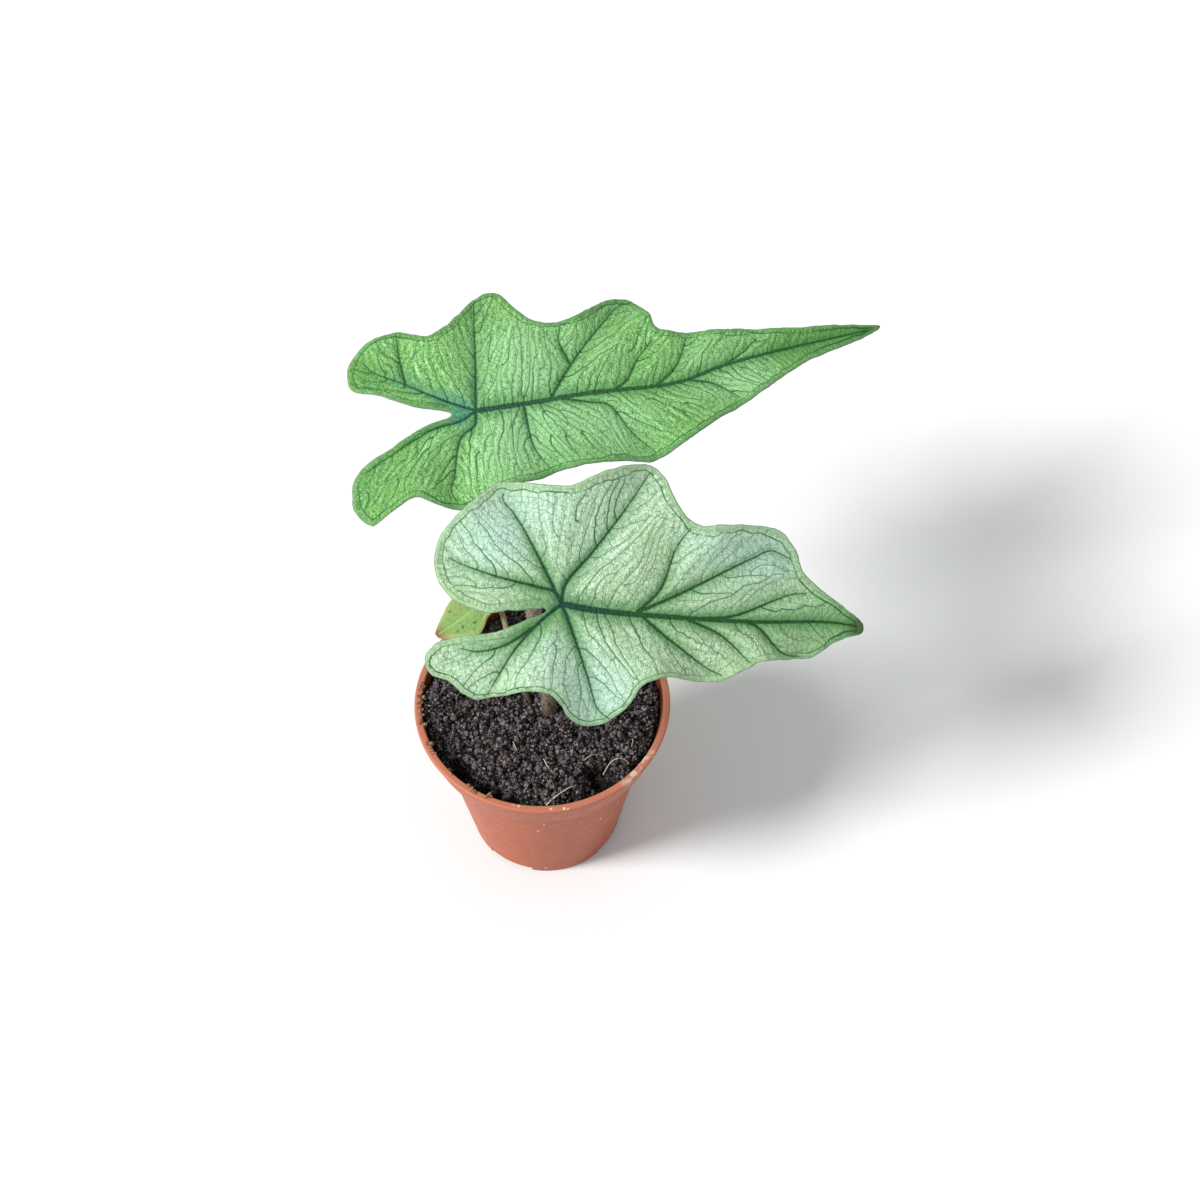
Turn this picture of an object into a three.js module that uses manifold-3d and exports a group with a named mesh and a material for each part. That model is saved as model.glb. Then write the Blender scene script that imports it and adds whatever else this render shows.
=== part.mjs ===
// A young jacklyn alocasia in a 60 mm nursery pot.
// Millimetres, +Z up, origin at the middle of the pot's underside, +Y away from the viewer.
import * as THREE from 'three';
import { mergeVertices } from 'three/addons/utils/BufferGeometryUtils.js';
import Module from 'manifold-3d';

const wasm = await Module();
wasm.setup();

// Clearance between neighbouring pieces
const GAP = 0.3;

// Pot: a tapered cup with a wider collar, and raised drain slots round its flat base
const POT_HEIGHT = 50;
const POT_LIP_RADIUS = 30;
const POT_LIP_INNER_RADIUS = 28.25;
const POT_COLLAR_BOTTOM = 41;
const POT_COLLAR_RADIUS = 27.6;
const POT_NECK_RADIUS = 25.2;
const POT_BASE_RADIUS = 18.4;
const POT_FLOOR = 1;
const POT_WALL = 1;
const POT_SIDES = 56;
const SLOT_COUNT = 4;
const SLOT_FIRST_ANGLE = -118;
const SLOT_WIDTH_ANGLE = 36;
const SLOT_HEIGHT = 1.8;
const SLOT_INNER_RADIUS = 14.6;
const SLOT_ROOF = 1.1;
const DRAIN_WIDTH_ANGLE = 18;
const DRAIN_RADII = [15.6, 17.2];

// Soil: a low dome of crumbly peat, highest round the stalks
const SOIL_BOTTOM = 3.2;
const SOIL_CENTRE_HEIGHT = 47;
const SOIL_EDGE_HEIGHT = 45;
const SOIL_EDGE_RADIUS = 26.9;
const SOIL_RINGS = 12;
const SOIL_SIDES = 44;
const SOIL_LUMP = 0.35;

// Crown: the short stem under the soil that the stalks grow from
const CROWN_CENTRE = [0.3, 1.0];
const CROWN_RADIUS = 5.8;
const CROWN_TOP = 44.3;
const CROWN_DEPTH = 11;
const STALK_FOOT = 40.3;

// Blades: their thickness, the ribs under their veins, and the size of the mesh
const BLADE_THICKNESS = 0.6;
const RIB_TAPER = 55;
const CREASE_ROUNDING = 3;
const EDGE_STEP = 2.6;
const VEIN_STEP = 2.5;
const FIELD_STEP = 2.9;
const BLADE_REACH = 110;

// Each blade is drawn flat: u runs ahead from the stalk, v to the left of it, and the outline
// runs anticlockwise from the tip.
// heading, drop and roll (degrees) turn it, and the form values bend it:
// fold lifts both halves off the midrib, side, ahead and back round it over,
// swells are [u, v, radius, height], and quilt is how far the blade rises between its veins.
// meshScale makes the mesh of a small blade finer.
const UPPER_LEAF = {
  junction: [-14.1, 39.6, 108],
  heading: 16,
  drop: 6,
  roll: 12,
  fold: 0.14,
  side: 0.0035,
  ahead: 0.0007,
  back: 0.004,
  quilt: { height: 1.0, reach: 5 },
  rib: 1.1,
  meshScale: 1,
  swells: [
    [-26, 17, 10, -1.5], [11, 31, 9, -2], [23, 20, 8, 1.2], [43, 25, 9, -2.5], [-30, -20, 9, -2],
    [-15, -16, 6, 1.2], [-8, -23, 8, -1.5], [4, -19, 8, 0.8], [36, -18, 8, -1.5], [46, 14, 6, 0.8],
  ],
  outline: [
    [102.5, 10], [92, 11.5], [81, 11.5], [65, 12.5], [50, 13.5], [46.5, 15], [46, 20], [43, 24.5],
    [40, 25], [36.5, 24.5], [29, 20.5], [24, 19], [21, 19], [18, 20], [15, 24], [12.5, 29.5],
    [9.5, 30.5], [6, 29], [3.5, 27], [-1, 23], [-4, 21], [-7, 20], [-10, 21.5], [-13, 23],
    [-17.5, 22.5], [-21, 21.5], [-25, 18], [-26.5, 14], [-26, 10.5], [-20.5, 7.5], [-13.5, 3],
    [-6, 0], [-12.5, -1.5], [-20, -5], [-27, -8], [-30, -11], [-31.5, -17.5], [-29, -22.5],
    [-28, -23], [-23, -21], [-18.5, -19.5], [-14.5, -21.5], [-10, -23.5], [-6, -24], [1, -22],
    [5, -21], [10, -20.5], [14, -19], [22, -18.5], [30, -18.5], [36, -19], [42.5, -17],
    [52, -12.5], [64.5, -6.5], [74, -1.5], [81, 2], [87, 4], [99, 8],
  ],
  veins: [
    [[0, 0], [11, 0], [26, 0.5], [48, 0.5], [59.5, 3.5], [73.5, 6], [98.5, 9]],
    [[0, 0], [2.5, 11.5], [4, 19], [6, 27.5]],
    [[0, 0], [-7, 4], [-15, 10], [-20, 14], [-22, 17.5]],
    [[-14, 9], [-14, 15], [-13.5, 22]],
    [[17.5, 0.5], [24.5, 8.5], [34.5, 18], [39, 22.5], [43, 23.5]],
    [[24, 8], [22.5, 14], [23.5, 17]],
    [[43, 0.5], [48.5, 4.5], [53, 11.5]],
    [[32.5, 0.5], [36, 2.5], [40, 7.5], [44.5, 11.5]],
    [[59, 3], [66, 6.5], [70, 9.5]],
    [[0, 0], [-4, -2], [-10.5, -3], [-21, -7.5], [-27, -10]],
    [[0, 0], [-1, -3.5], [-5, -6.5], [-8.5, -15.5], [-10, -19], [-9, -22]],
    [[11, 0], [10.5, -12], [12.5, -17.5]],
    [[18.5, 0.5], [30, -3], [34, -11], [38, -16.5]],
    [[50, 1], [56.5, -1], [61.5, -5.5]],
  ],
};

const LOWER_LEAF = {
  junction: [5.3, -5.4, 97],
  heading: 2,
  drop: 8,
  roll: 30,
  fold: 0.12,
  side: 0.0045,
  ahead: 0.0013,
  back: 0.003,
  quilt: { height: 1.3, reach: 5 },
  rib: 1.2,
  meshScale: 1,
  swells: [
    [-27, 9, 9, -1.5], [-13, 27, 9, -1.5], [0, 25, 7, 1], [20, 31, 9, -2], [29, 19, 7, 1.5],
    [50, 16, 9, -2], [-28, -14, 9, -2], [-17, -21, 8, -1.5], [-4, -19, 7, 1], [9, -26, 9, -3],
    [20, -15, 6, 1], [33, -17, 7, -3], [44, -10, 6, 0.5], [56, -9, 7, -1.5],
  ],
  outline: [
    [68.5, -0.5], [64, 3], [58.5, 6.5], [54, 10.5], [52.5, 15], [51, 17], [48, 19.5], [42.5, 20],
    [34.5, 19.5], [30, 19], [27.5, 20], [25, 23], [22, 29.5], [19, 32], [15, 32], [10, 30.5],
    [5.5, 28.5], [1, 26], [-5.5, 26], [-10.5, 26.5], [-15, 26], [-19, 23], [-24, 18], [-27, 13.5],
    [-28, 9], [-27, 4], [-24, 0], [-20, -2], [-16, -3], [-12, -2.5], [-8, -2], [-3.5, -1.5],
    [-8.5, -3.8], [-13, -6], [-17.5, -7], [-23, -8], [-27, -9.5], [-29, -13], [-27.5, -16.5],
    [-23.5, -18], [-20, -20.5], [-17, -21.5], [-11.5, -20.5], [-6, -19.5], [-2, -20], [0.5, -22],
    [2, -24], [5, -26], [8.5, -26], [11.5, -25], [16, -21], [17.5, -18], [20, -16], [25, -15],
    [30, -15.5], [36, -15], [42, -12], [44.5, -10.5], [52, -9.5], [57, -8.5], [61, -5.5],
    [64, -4], [68, -2.5],
  ],
  veins: [
    [[0, 0], [8.5, -1], [25, -1.5], [42.5, -1.5], [60, -0.5], [66.5, -1]],
    [[0, 0], [-5.5, 10], [-11, 19], [-13.5, 22], [-13.5, 23.5]],
    [[0, 0], [-1.5, 2.5], [-5.5, 3.5], [-15, 5.5], [-22.5, 8], [-24.5, 9]],
    [[0, 0], [0.5, 4], [6.5, 12], [13.5, 22], [18.5, 30]],
    [[16.5, -1], [21.5, 4.5], [24.5, 13.5], [27.5, 18]],
    [[16.5, -1], [26.5, 4], [42, 12.5], [46.5, 14.5], [51, 13]],
    [[30.5, -1.5], [38, -0.5], [51, 5], [54.5, 5.5]],
    [[0, 0], [-3.5, -3], [-9.5, -10], [-15, -20]],
    [[-6, -5.5], [-12, -9.5], [-17.5, -11], [-21, -10.5]],
    [[0, 0], [1, -2], [6.5, -16], [9, -22], [11.5, -24]],
    [[17, -1], [22.5, -5.5], [32.5, -12], [36, -13.5]],
    [[27, -1.5], [35.5, -5], [42, -10.5]],
    [[40.5, -1.5], [43.5, -2.5], [49.5, -8], [53.5, -8.5]],
  ],
};

const OLD_LEAF = {
  junction: [-12.8, 21.3, 62],
  heading: 206,
  drop: 26,
  roll: 8,
  fold: 0.1,
  side: 0.02,
  ahead: 0.01,
  back: 0.02,
  quilt: { height: 0.3, reach: 3 },
  rib: 0.5,
  meshScale: 0.55,
  swells: [[9, 6, 4, 0.6], [15, 0, 3, 1]],
  outline: [
    [16, 0.8], [14, 2.5], [11, 5], [7, 6.8], [4.5, 6], [2.5, 4.6], [-1, 4], [-2.8, 2], [-1, 0.3],
    [-2.8, -1.2], [-3, -3.5], [0, -5.2], [4, -6], [9, -5.2], [13.5, -2.8], [16.2, -0.8],
  ],
  veins: [[[0, 0], [7, 0.3], [15, 0]]],
};

// Leafstalks: the middle of each, from its foot in the crown to its blade, and its radii
const UPPER_STALK = {
  route: [[0.7, 3.1, STALK_FOOT], [0.8, 3.3, 47], [-0.6, 9, 60], [-3.8, 18.5, 77], [-9, 31, 95]],
  radii: [2.0, 1.5],
};
const LOWER_STALK = {
  route: [[1.5, -1.2, STALK_FOOT], [1.5, -1.3, 47], [1.6, 0.6, 62], [2.6, 1.4, 80]],
  radii: [1.9, 1.4],
};
const OLD_STALK = {
  route: [[-2.9, 0.6, STALK_FOOT], [-3.1, 0.9, 47], [-6.5, 8, 54]],
  radii: [0.8, 0.6],
};
const STALK_SIDES = 10;
const STALK_STEPS = 22;

// Signed volume of an indexed closed mesh: below zero when its faces point in
function signedVolume(geometry) {
  const position = geometry.attributes.position;
  const index = geometry.index.array;
  const [a, b, c] = [new THREE.Vector3(), new THREE.Vector3(), new THREE.Vector3()];
  let volume = 0;
  for (let i = 0; i < index.length; i += 3) {
    a.fromBufferAttribute(position, index[i]);
    b.fromBufferAttribute(position, index[i + 1]);
    c.fromBufferAttribute(position, index[i + 2]);
    volume += a.dot(b.cross(c)) / 6;
  }
  return volume;
}

// Shared vertices, no normals or uvs, faces pointing out
function closedMesh(source) {
  const geometry = source.clone();
  geometry.deleteAttribute('normal');
  geometry.deleteAttribute('uv');
  const merged = mergeVertices(geometry, 1e-4);
  const kept = [];
  const index = merged.index.array;
  for (let i = 0; i < index.length; i += 3) {
    const [a, b, c] = [index[i], index[i + 1], index[i + 2]];
    if (a !== b && b !== c && c !== a) kept.push(a, b, c);
  }
  merged.setIndex(kept);
  if (signedVolume(merged) < 0) merged.setIndex(kept.reverse());
  return merged;
}

function solidOf(source) {
  const geometry = closedMesh(source);
  return new wasm.Manifold(new wasm.Mesh({
    numProp: 3,
    vertProperties: Float32Array.from(geometry.attributes.position.array),
    triVerts: Uint32Array.from(geometry.index.array),
  }));
}

function geometryOf(solid) {
  const mesh = solid.getMesh();
  const geometry = new THREE.BufferGeometry();
  geometry.setAttribute('position', new THREE.BufferAttribute(mesh.vertProperties, 3));
  geometry.setIndex(Array.from(mesh.triVerts));
  return geometry;
}

// A solid of revolution about the z axis, from [radius, z] points
function turned(profile, sides) {
  const points = profile.map(([radius, z]) => new THREE.Vector2(radius, z));
  return new THREE.LatheGeometry(points, sides).rotateX(Math.PI / 2);
}

// A block between two radii, centred on an angle in degrees
function ringSector([inner, outer], centreAngle, widthAngle, bottom, height) {
  const from = THREE.MathUtils.degToRad(centreAngle - widthAngle / 2);
  const to = THREE.MathUtils.degToRad(centreAngle + widthAngle / 2);
  const shape = new THREE.Shape();
  shape.absarc(0, 0, outer, from, to, false);
  shape.absarc(0, 0, inner, to, from, true);
  const settings = { depth: height, bevelEnabled: false, curveSegments: 5 };
  return new THREE.ExtrudeGeometry(shape, settings).translate(0, 0, bottom);
}

// A tapering round stalk: a turned bar bent along its route
function bentStalk(route, [footRadius, topRadius], extra = 0) {
  const curve = new THREE.CatmullRomCurve3(route.map((point) => new THREE.Vector3(...point)));
  const frames = curve.computeFrenetFrames(STALK_STEPS);
  const profile = [[0, 0]];
  for (let i = 0; i <= STALK_STEPS; i += 1) {
    const radius = THREE.MathUtils.lerp(footRadius, topRadius, i / STALK_STEPS) + extra;
    profile.push([radius, i]);
  }
  profile.push([0, STALK_STEPS]);
  const geometry = turned(profile, STALK_SIDES);
  const position = geometry.attributes.position;
  const vertex = new THREE.Vector3();
  for (let i = 0; i < position.count; i += 1) {
    vertex.fromBufferAttribute(position, i);
    const step = Math.round(vertex.z);
    const bent = curve.getPointAt(step / STALK_STEPS)
      .addScaledVector(frames.normals[step], vertex.x)
      .addScaledVector(frames.binormals[step], vertex.y);
    position.setXYZ(i, bent.x, bent.y, bent.z);
  }
  return geometry;
}

// Distance from a point to a chain of straight pieces
function distanceToChain(chain, u, v) {
  let nearest = Infinity;
  for (let i = 1; i < chain.length; i += 1) {
    const [au, av] = chain[i - 1];
    const [bu, bv] = chain[i];
    const [du, dv] = [bu - au, bv - av];
    const along = ((u - au) * du + (v - av) * dv) / (du * du + dv * dv);
    const t = THREE.MathUtils.clamp(along, 0, 1);
    nearest = Math.min(nearest, Math.hypot(u - au - t * du, v - av - t * dv));
  }
  return nearest;
}

// Height of a blade's upper face over its flat drawing
function bladeHeight(leaf, u, v) {
  const bend = u > 0 ? leaf.ahead : leaf.back;
  let height = leaf.fold * (Math.hypot(v, CREASE_ROUNDING) - CREASE_ROUNDING);
  height -= leaf.side * v * v + bend * u * u;
  for (const [su, sv, radius, lift] of leaf.swells) {
    height += lift * Math.exp(-((u - su) ** 2 + (v - sv) ** 2) / radius ** 2);
  }
  const vein = Math.min(...leaf.veins.map((chain) => distanceToChain(chain, u, v)));
  return height + leaf.quilt.height * (1 - Math.exp(-((vein / leaf.quilt.reach) ** 2)));
}

// Points along a chain of straight pieces, evenly spaced
function alongChain(chain, step) {
  const curve = new THREE.CurvePath();
  for (let i = 1; i < chain.length; i += 1) {
    curve.add(new THREE.LineCurve(
      new THREE.Vector2(...chain[i - 1]),
      new THREE.Vector2(...chain[i]),
    ));
  }
  const count = Math.max(1, Math.round(curve.getLength() / step));
  return curve.getSpacedPoints(count).map((point) => [point.x, point.y]);
}

function insideOutline(edge, [u, v]) {
  let inside = false;
  for (let i = 0, j = edge.length - 1; i < edge.length; j = i, i += 1) {
    const [au, av] = edge[i];
    const [bu, bv] = edge[j];
    if ((av > v) !== (bv > v) && u < ((bu - au) * (v - av)) / (bv - av) + au) inside = !inside;
  }
  return inside;
}

const clearOf = (points, [u, v], space) => (
  points.every(([pu, pv]) => Math.hypot(u - pu, v - pv) > space)
);

// Whether point p lies in the circle through a, b and c, which run anticlockwise
function inCircle(a, b, c, p) {
  const [ax, ay] = [a[0] - p[0], a[1] - p[1]];
  const [bx, by] = [b[0] - p[0], b[1] - p[1]];
  const [cx, cy] = [c[0] - p[0], c[1] - p[1]];
  return (ax * ax + ay * ay) * (bx * cy - cx * by)
    - (bx * bx + by * by) * (ax * cy - cx * ay)
    + (cx * cx + cy * cy) * (ax * by - bx * ay) > 0;
}

// Delaunay triangles of flat points, by adding them one at a time
function delaunay(points) {
  const far = 1e5;
  const all = [...points, [-far, -far], [far, -far], [0, far]];
  const n = points.length;
  let triangles = [[n, n + 1, n + 2]];
  points.forEach((point, added) => {
    const open = new Map();
    triangles = triangles.filter((triangle) => {
      if (!inCircle(...triangle.map((i) => all[i]), point)) return true;
      triangle.forEach((from, k) => {
        const to = triangle[(k + 1) % 3];
        if (!open.delete(`${to} ${from}`)) open.set(`${from} ${to}`, [from, to]);
      });
      return false;
    });
    for (const [from, to] of open.values()) triangles.push([from, to, added]);
  });
  return triangles.filter((triangle) => triangle.every((i) => i < n));
}

// The flat mesh of a blade: its edge, its veins and a field of points between them
function bladeMesh(leaf) {
  const outline = leaf.outline.map(([u, v]) => new THREE.Vector3(u, v, 0));
  const curve = new THREE.CatmullRomCurve3(outline, true, 'centripetal');
  const count = Math.round(curve.getLength() / (EDGE_STEP * leaf.meshScale));
  let stops = Array.from({ length: count }, (_, i) => i / count);
  const edgeAt = (stop) => {
    const point = curve.getPointAt(stop);
    return [point.x, point.y];
  };
  let edge = stops.map(edgeAt);
  const inner = [];
  const add = (point, space) => {
    if (!insideOutline(edge, point) || !clearOf(edge, point, space)) return;
    if (clearOf(inner, point, space)) inner.push(point);
  };
  const veinSpace = 1.2 * leaf.meshScale;
  for (const vein of leaf.veins) {
    alongChain(vein, VEIN_STEP * leaf.meshScale).forEach((point) => add(point, veinSpace));
  }
  const step = FIELD_STEP * leaf.meshScale;
  const row = step * Math.sqrt(0.75);
  for (let i = -Math.ceil(BLADE_REACH / row); i * row < BLADE_REACH; i += 1) {
    for (let j = -Math.ceil(BLADE_REACH / step); j * step < BLADE_REACH; j += 1) {
      const shift = (i % 2) / 2 + 0.04 * Math.sin(7 * i + 3 * j);
      add([(j + shift) * step, i * row], 0.55 * step);
    }
  }
  // Edge pieces that the triangles leave out are halved until they are all there
  for (;;) {
    const points = [...edge, ...inner];
    const triangles = delaunay(points).filter((triangle) => {
      const [a, b, c] = triangle.map((i) => points[i]);
      return insideOutline(edge, [(a[0] + b[0] + c[0]) / 3, (a[1] + b[1] + c[1]) / 3]);
    });
    const sides = new Set(triangles.flatMap(([a, b, c]) => [`${a} ${b}`, `${b} ${c}`, `${c} ${a}`]));
    const halved = stops.flatMap((stop, i) => {
      const next = (i + 1) % stops.length;
      if (sides.has(`${i} ${next}`) || sides.has(`${next} ${i}`)) return [stop];
      return [stop, (stop + (next === 0 ? 1 : stops[next])) / 2];
    });
    if (halved.length === stops.length) return { points, triangles, edgeCount: edge.length };
    stops = halved;
    edge = stops.map(edgeAt);
  }
}

// A blade as a closed body in its own frame; above and below make it thicker
function bladeGeometry(leaf, above = 0, below = 0) {
  const { points, triangles, edgeCount } = bladeMesh(leaf);
  const [upper, lower] = [[], []];
  for (const [u, v] of points) {
    const height = bladeHeight(leaf, u, v);
    const vein = Math.min(...leaf.veins.map((chain) => distanceToChain(chain, u, v)));
    const rib = vein < 0.01 ? leaf.rib * Math.exp(-Math.hypot(u, v) / RIB_TAPER) : 0;
    upper.push(u, v, height + above);
    lower.push(u, v, height - BLADE_THICKNESS - rib - below);
  }
  const n = points.length;
  const faces = [];
  for (const [a, b, c] of triangles) faces.push(a, b, c, c + n, b + n, a + n);
  for (let i = 0; i < edgeCount; i += 1) {
    const next = (i + 1) % edgeCount;
    faces.push(i, i + n, next, next, i + n, next + n);
  }
  const geometry = new THREE.BufferGeometry();
  geometry.setAttribute('position', new THREE.Float32BufferAttribute([...upper, ...lower], 3));
  geometry.setIndex(faces);
  return geometry;
}

// Turns a blade's own frame into the plant's
function bladeMatrix(leaf) {
  const [heading, drop, roll] = [leaf.heading, leaf.drop, leaf.roll].map(THREE.MathUtils.degToRad);
  const ahead = new THREE.Vector3(
    Math.cos(drop) * Math.cos(heading),
    Math.cos(drop) * Math.sin(heading),
    -Math.sin(drop),
  );
  const lean = new THREE.Vector3(0, -Math.sin(roll), Math.cos(roll));
  const left = lean.cross(ahead).normalize();
  const up = ahead.clone().cross(left);
  return new THREE.Matrix4().makeBasis(ahead, left, up).setPosition(...leaf.junction);
}

// A stalk runs on to just under its blade and ends on the blade's underside
function stalkSolid(stalk, leaf) {
  const matrix = bladeMatrix(leaf);
  const end = new THREE.Vector3(0, 0, -0.3).applyMatrix4(matrix);
  const neck = new THREE.Vector3(-0.5, 0, -4.5).applyMatrix4(matrix);
  const route = [...stalk.route, neck.toArray(), end.toArray()];
  const blade = solidOf(bladeGeometry(leaf, 3, GAP).applyMatrix4(matrix));
  return solidOf(bentStalk(route, stalk.radii)).subtract(blade);
}

// The plain hole that a stalk stands in
function stalkHole(stalk) {
  return solidOf(bentStalk(stalk.route, stalk.radii, GAP));
}

function potSolid() {
  const inner = POT_WALL;
  const body = solidOf(turned([
    [0, 0], [POT_BASE_RADIUS - 0.4, 0], [POT_BASE_RADIUS, 0.4],
    [POT_NECK_RADIUS, POT_COLLAR_BOTTOM], [POT_COLLAR_RADIUS - 0.2, POT_COLLAR_BOTTOM],
    [POT_COLLAR_RADIUS, POT_COLLAR_BOTTOM + 0.3], [POT_LIP_RADIUS - 0.3, POT_HEIGHT - 1.6],
    [POT_LIP_RADIUS, POT_HEIGHT - 0.8], [POT_LIP_RADIUS - 0.1, POT_HEIGHT - 0.2],
    [POT_LIP_RADIUS - 0.5, POT_HEIGHT], [POT_LIP_INNER_RADIUS + 0.3, POT_HEIGHT],
    [POT_LIP_INNER_RADIUS, POT_HEIGHT - 0.3],
    [POT_COLLAR_RADIUS - 0.9 * inner, POT_COLLAR_BOTTOM + 1.2],
    [POT_COLLAR_RADIUS - 1.2 * inner, POT_COLLAR_BOTTOM + 0.9],
    [POT_NECK_RADIUS - 0.5 * inner, POT_COLLAR_BOTTOM + 0.7],
    [POT_NECK_RADIUS - 0.85 * inner, POT_COLLAR_BOTTOM + 0.3],
    [POT_BASE_RADIUS - inner, POT_FLOOR + 0.4], [POT_BASE_RADIUS - 1.4 * inner, POT_FLOOR],
    [0, POT_FLOOR],
  ], POT_SIDES));
  let pot = body;
  for (let i = 0; i < SLOT_COUNT; i += 1) {
    const angle = SLOT_FIRST_ANGLE + (360 / SLOT_COUNT) * i;
    const roof = SLOT_HEIGHT + SLOT_ROOF;
    const padRadii = [SLOT_INNER_RADIUS - 1, POT_BASE_RADIUS - 0.2];
    const pad = ringSector(padRadii, angle, SLOT_WIDTH_ANGLE + 6, POT_FLOOR / 2, roof - POT_FLOOR / 2);
    pot = pot.add(solidOf(pad));
  }
  for (let i = 0; i < SLOT_COUNT; i += 1) {
    const angle = SLOT_FIRST_ANGLE + (360 / SLOT_COUNT) * i;
    const slotRadii = [SLOT_INNER_RADIUS, POT_BASE_RADIUS + 3];
    const slot = ringSector(slotRadii, angle, SLOT_WIDTH_ANGLE, -1, SLOT_HEIGHT + 1);
    const drain = ringSector(DRAIN_RADII, angle, DRAIN_WIDTH_ANGLE, 1, SLOT_HEIGHT + SLOT_ROOF);
    pot = pot.subtract(solidOf(slot)).subtract(solidOf(drain));
  }
  return pot;
}

function crownProfile(extra) {
  const radius = CROWN_RADIUS + extra;
  const top = CROWN_TOP + extra;
  const bottom = CROWN_TOP - CROWN_DEPTH - extra;
  return [
    [0, bottom], [0.55 * radius, bottom + 0.6], [0.9 * radius, bottom + 3.5],
    [radius, bottom + 6.5], [radius, top - 1.6], [radius - 1.2, top - 0.3], [0, top],
  ];
}

function crownSolid() {
  const [x, y] = CROWN_CENTRE;
  let crown = solidOf(turned(crownProfile(0), 20).translate(x, y, 0));
  for (const stalk of [UPPER_STALK, LOWER_STALK, OLD_STALK]) {
    const [[footX, footY], ...rest] = stalk.route;
    const route = [[footX, footY, STALK_FOOT - GAP], ...rest];
    crown = crown.subtract(stalkHole({ ...stalk, route }));
  }
  return crown;
}

// Small smooth lumps on the soil
function soilLump(x, y) {
  return SOIL_LUMP * (Math.sin(1.1 * x + 2) * Math.sin(0.9 * y + 1) + Math.sin(0.7 * x - 1.3 * y));
}

function soilSolid() {
  const profile = [[0, SOIL_BOTTOM], [17.4, SOIL_BOTTOM], [23.95, 41], [24.3, 42], [26.2, 42.25]];
  for (let i = SOIL_RINGS; i >= 0; i -= 1) {
    const radius = (SOIL_EDGE_RADIUS * i) / SOIL_RINGS;
    const fall = (SOIL_CENTRE_HEIGHT - SOIL_EDGE_HEIGHT) * (i / SOIL_RINGS) ** 3;
    profile.push([radius, SOIL_CENTRE_HEIGHT - fall]);
  }
  const geometry = turned(profile, SOIL_SIDES);
  const position = geometry.attributes.position;
  for (let i = 0; i < position.count; i += 1) {
    const [x, y, z] = [position.getX(i), position.getY(i), position.getZ(i)];
    const fade = 1 - (Math.hypot(x, y) / SOIL_EDGE_RADIUS) ** 4;
    if (z > SOIL_EDGE_HEIGHT - 0.1) position.setZ(i, z + fade * soilLump(x, y));
  }
  const [x, y] = CROWN_CENTRE;
  let soil = solidOf(geometry).subtract(solidOf(turned(crownProfile(GAP), 20).translate(x, y, 0)));
  for (const stalk of [UPPER_STALK, LOWER_STALK, OLD_STALK]) soil = soil.subtract(stalkHole(stalk));
  return soil;
}

const group = new THREE.Group();

function addPiece(name, geometry, color, roughness) {
  const material = new THREE.MeshStandardMaterial({ color, roughness, metalness: 0 });
  const mesh = new THREE.Mesh(geometry, material);
  mesh.name = name;
  group.add(mesh);
  return mesh;
}

addPiece('pot', geometryOf(potSolid()), '#b9694f', 0.4);
addPiece('soil', geometryOf(soilSolid()), '#2b2320', 0.95);
addPiece('crown', geometryOf(crownSolid()), '#5b4636', 0.85);

const plant = [
  ['upper', UPPER_STALK, UPPER_LEAF, '#8a6f5c', '#7dc46a'],
  ['lower', LOWER_STALK, LOWER_LEAF, '#8a6f5c', '#b9dfc4'],
  ['old', OLD_STALK, OLD_LEAF, '#b59a78', '#b5c877'],
];
for (const [name, stalk, leaf, stalkColour, bladeColour] of plant) {
  addPiece(`stalk_${name}`, geometryOf(stalkSolid(stalk, leaf)), stalkColour, 0.55);
  const blade = addPiece(`blade_${name}`, closedMesh(bladeGeometry(leaf)), bladeColour, 0.6);
  blade.applyMatrix4(bladeMatrix(leaf));
}

export default group;
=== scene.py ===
"""A young jacklyn alocasia in a 60 mm nursery pot: its fine blades, stalks, pot and peat."""

import math

import bpy
import numpy as np
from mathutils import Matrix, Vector, kdtree, noise
from mathutils.geometry import delaunay_2d_cdt


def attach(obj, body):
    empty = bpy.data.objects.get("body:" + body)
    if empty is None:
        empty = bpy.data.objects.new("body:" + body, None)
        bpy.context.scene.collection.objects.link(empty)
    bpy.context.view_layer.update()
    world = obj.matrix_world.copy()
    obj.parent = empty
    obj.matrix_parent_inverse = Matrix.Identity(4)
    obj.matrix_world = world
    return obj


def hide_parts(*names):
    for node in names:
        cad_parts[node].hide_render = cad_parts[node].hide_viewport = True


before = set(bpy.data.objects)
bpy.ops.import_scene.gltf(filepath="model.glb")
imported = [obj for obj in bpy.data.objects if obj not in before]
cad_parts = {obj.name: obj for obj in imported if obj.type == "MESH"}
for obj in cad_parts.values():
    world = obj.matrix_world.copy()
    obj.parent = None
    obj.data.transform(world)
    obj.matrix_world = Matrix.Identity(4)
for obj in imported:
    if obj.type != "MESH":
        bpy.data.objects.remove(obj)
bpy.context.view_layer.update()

# Shapes are worked out in millimetres, and meshes are in metres
MM = 0.001

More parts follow.
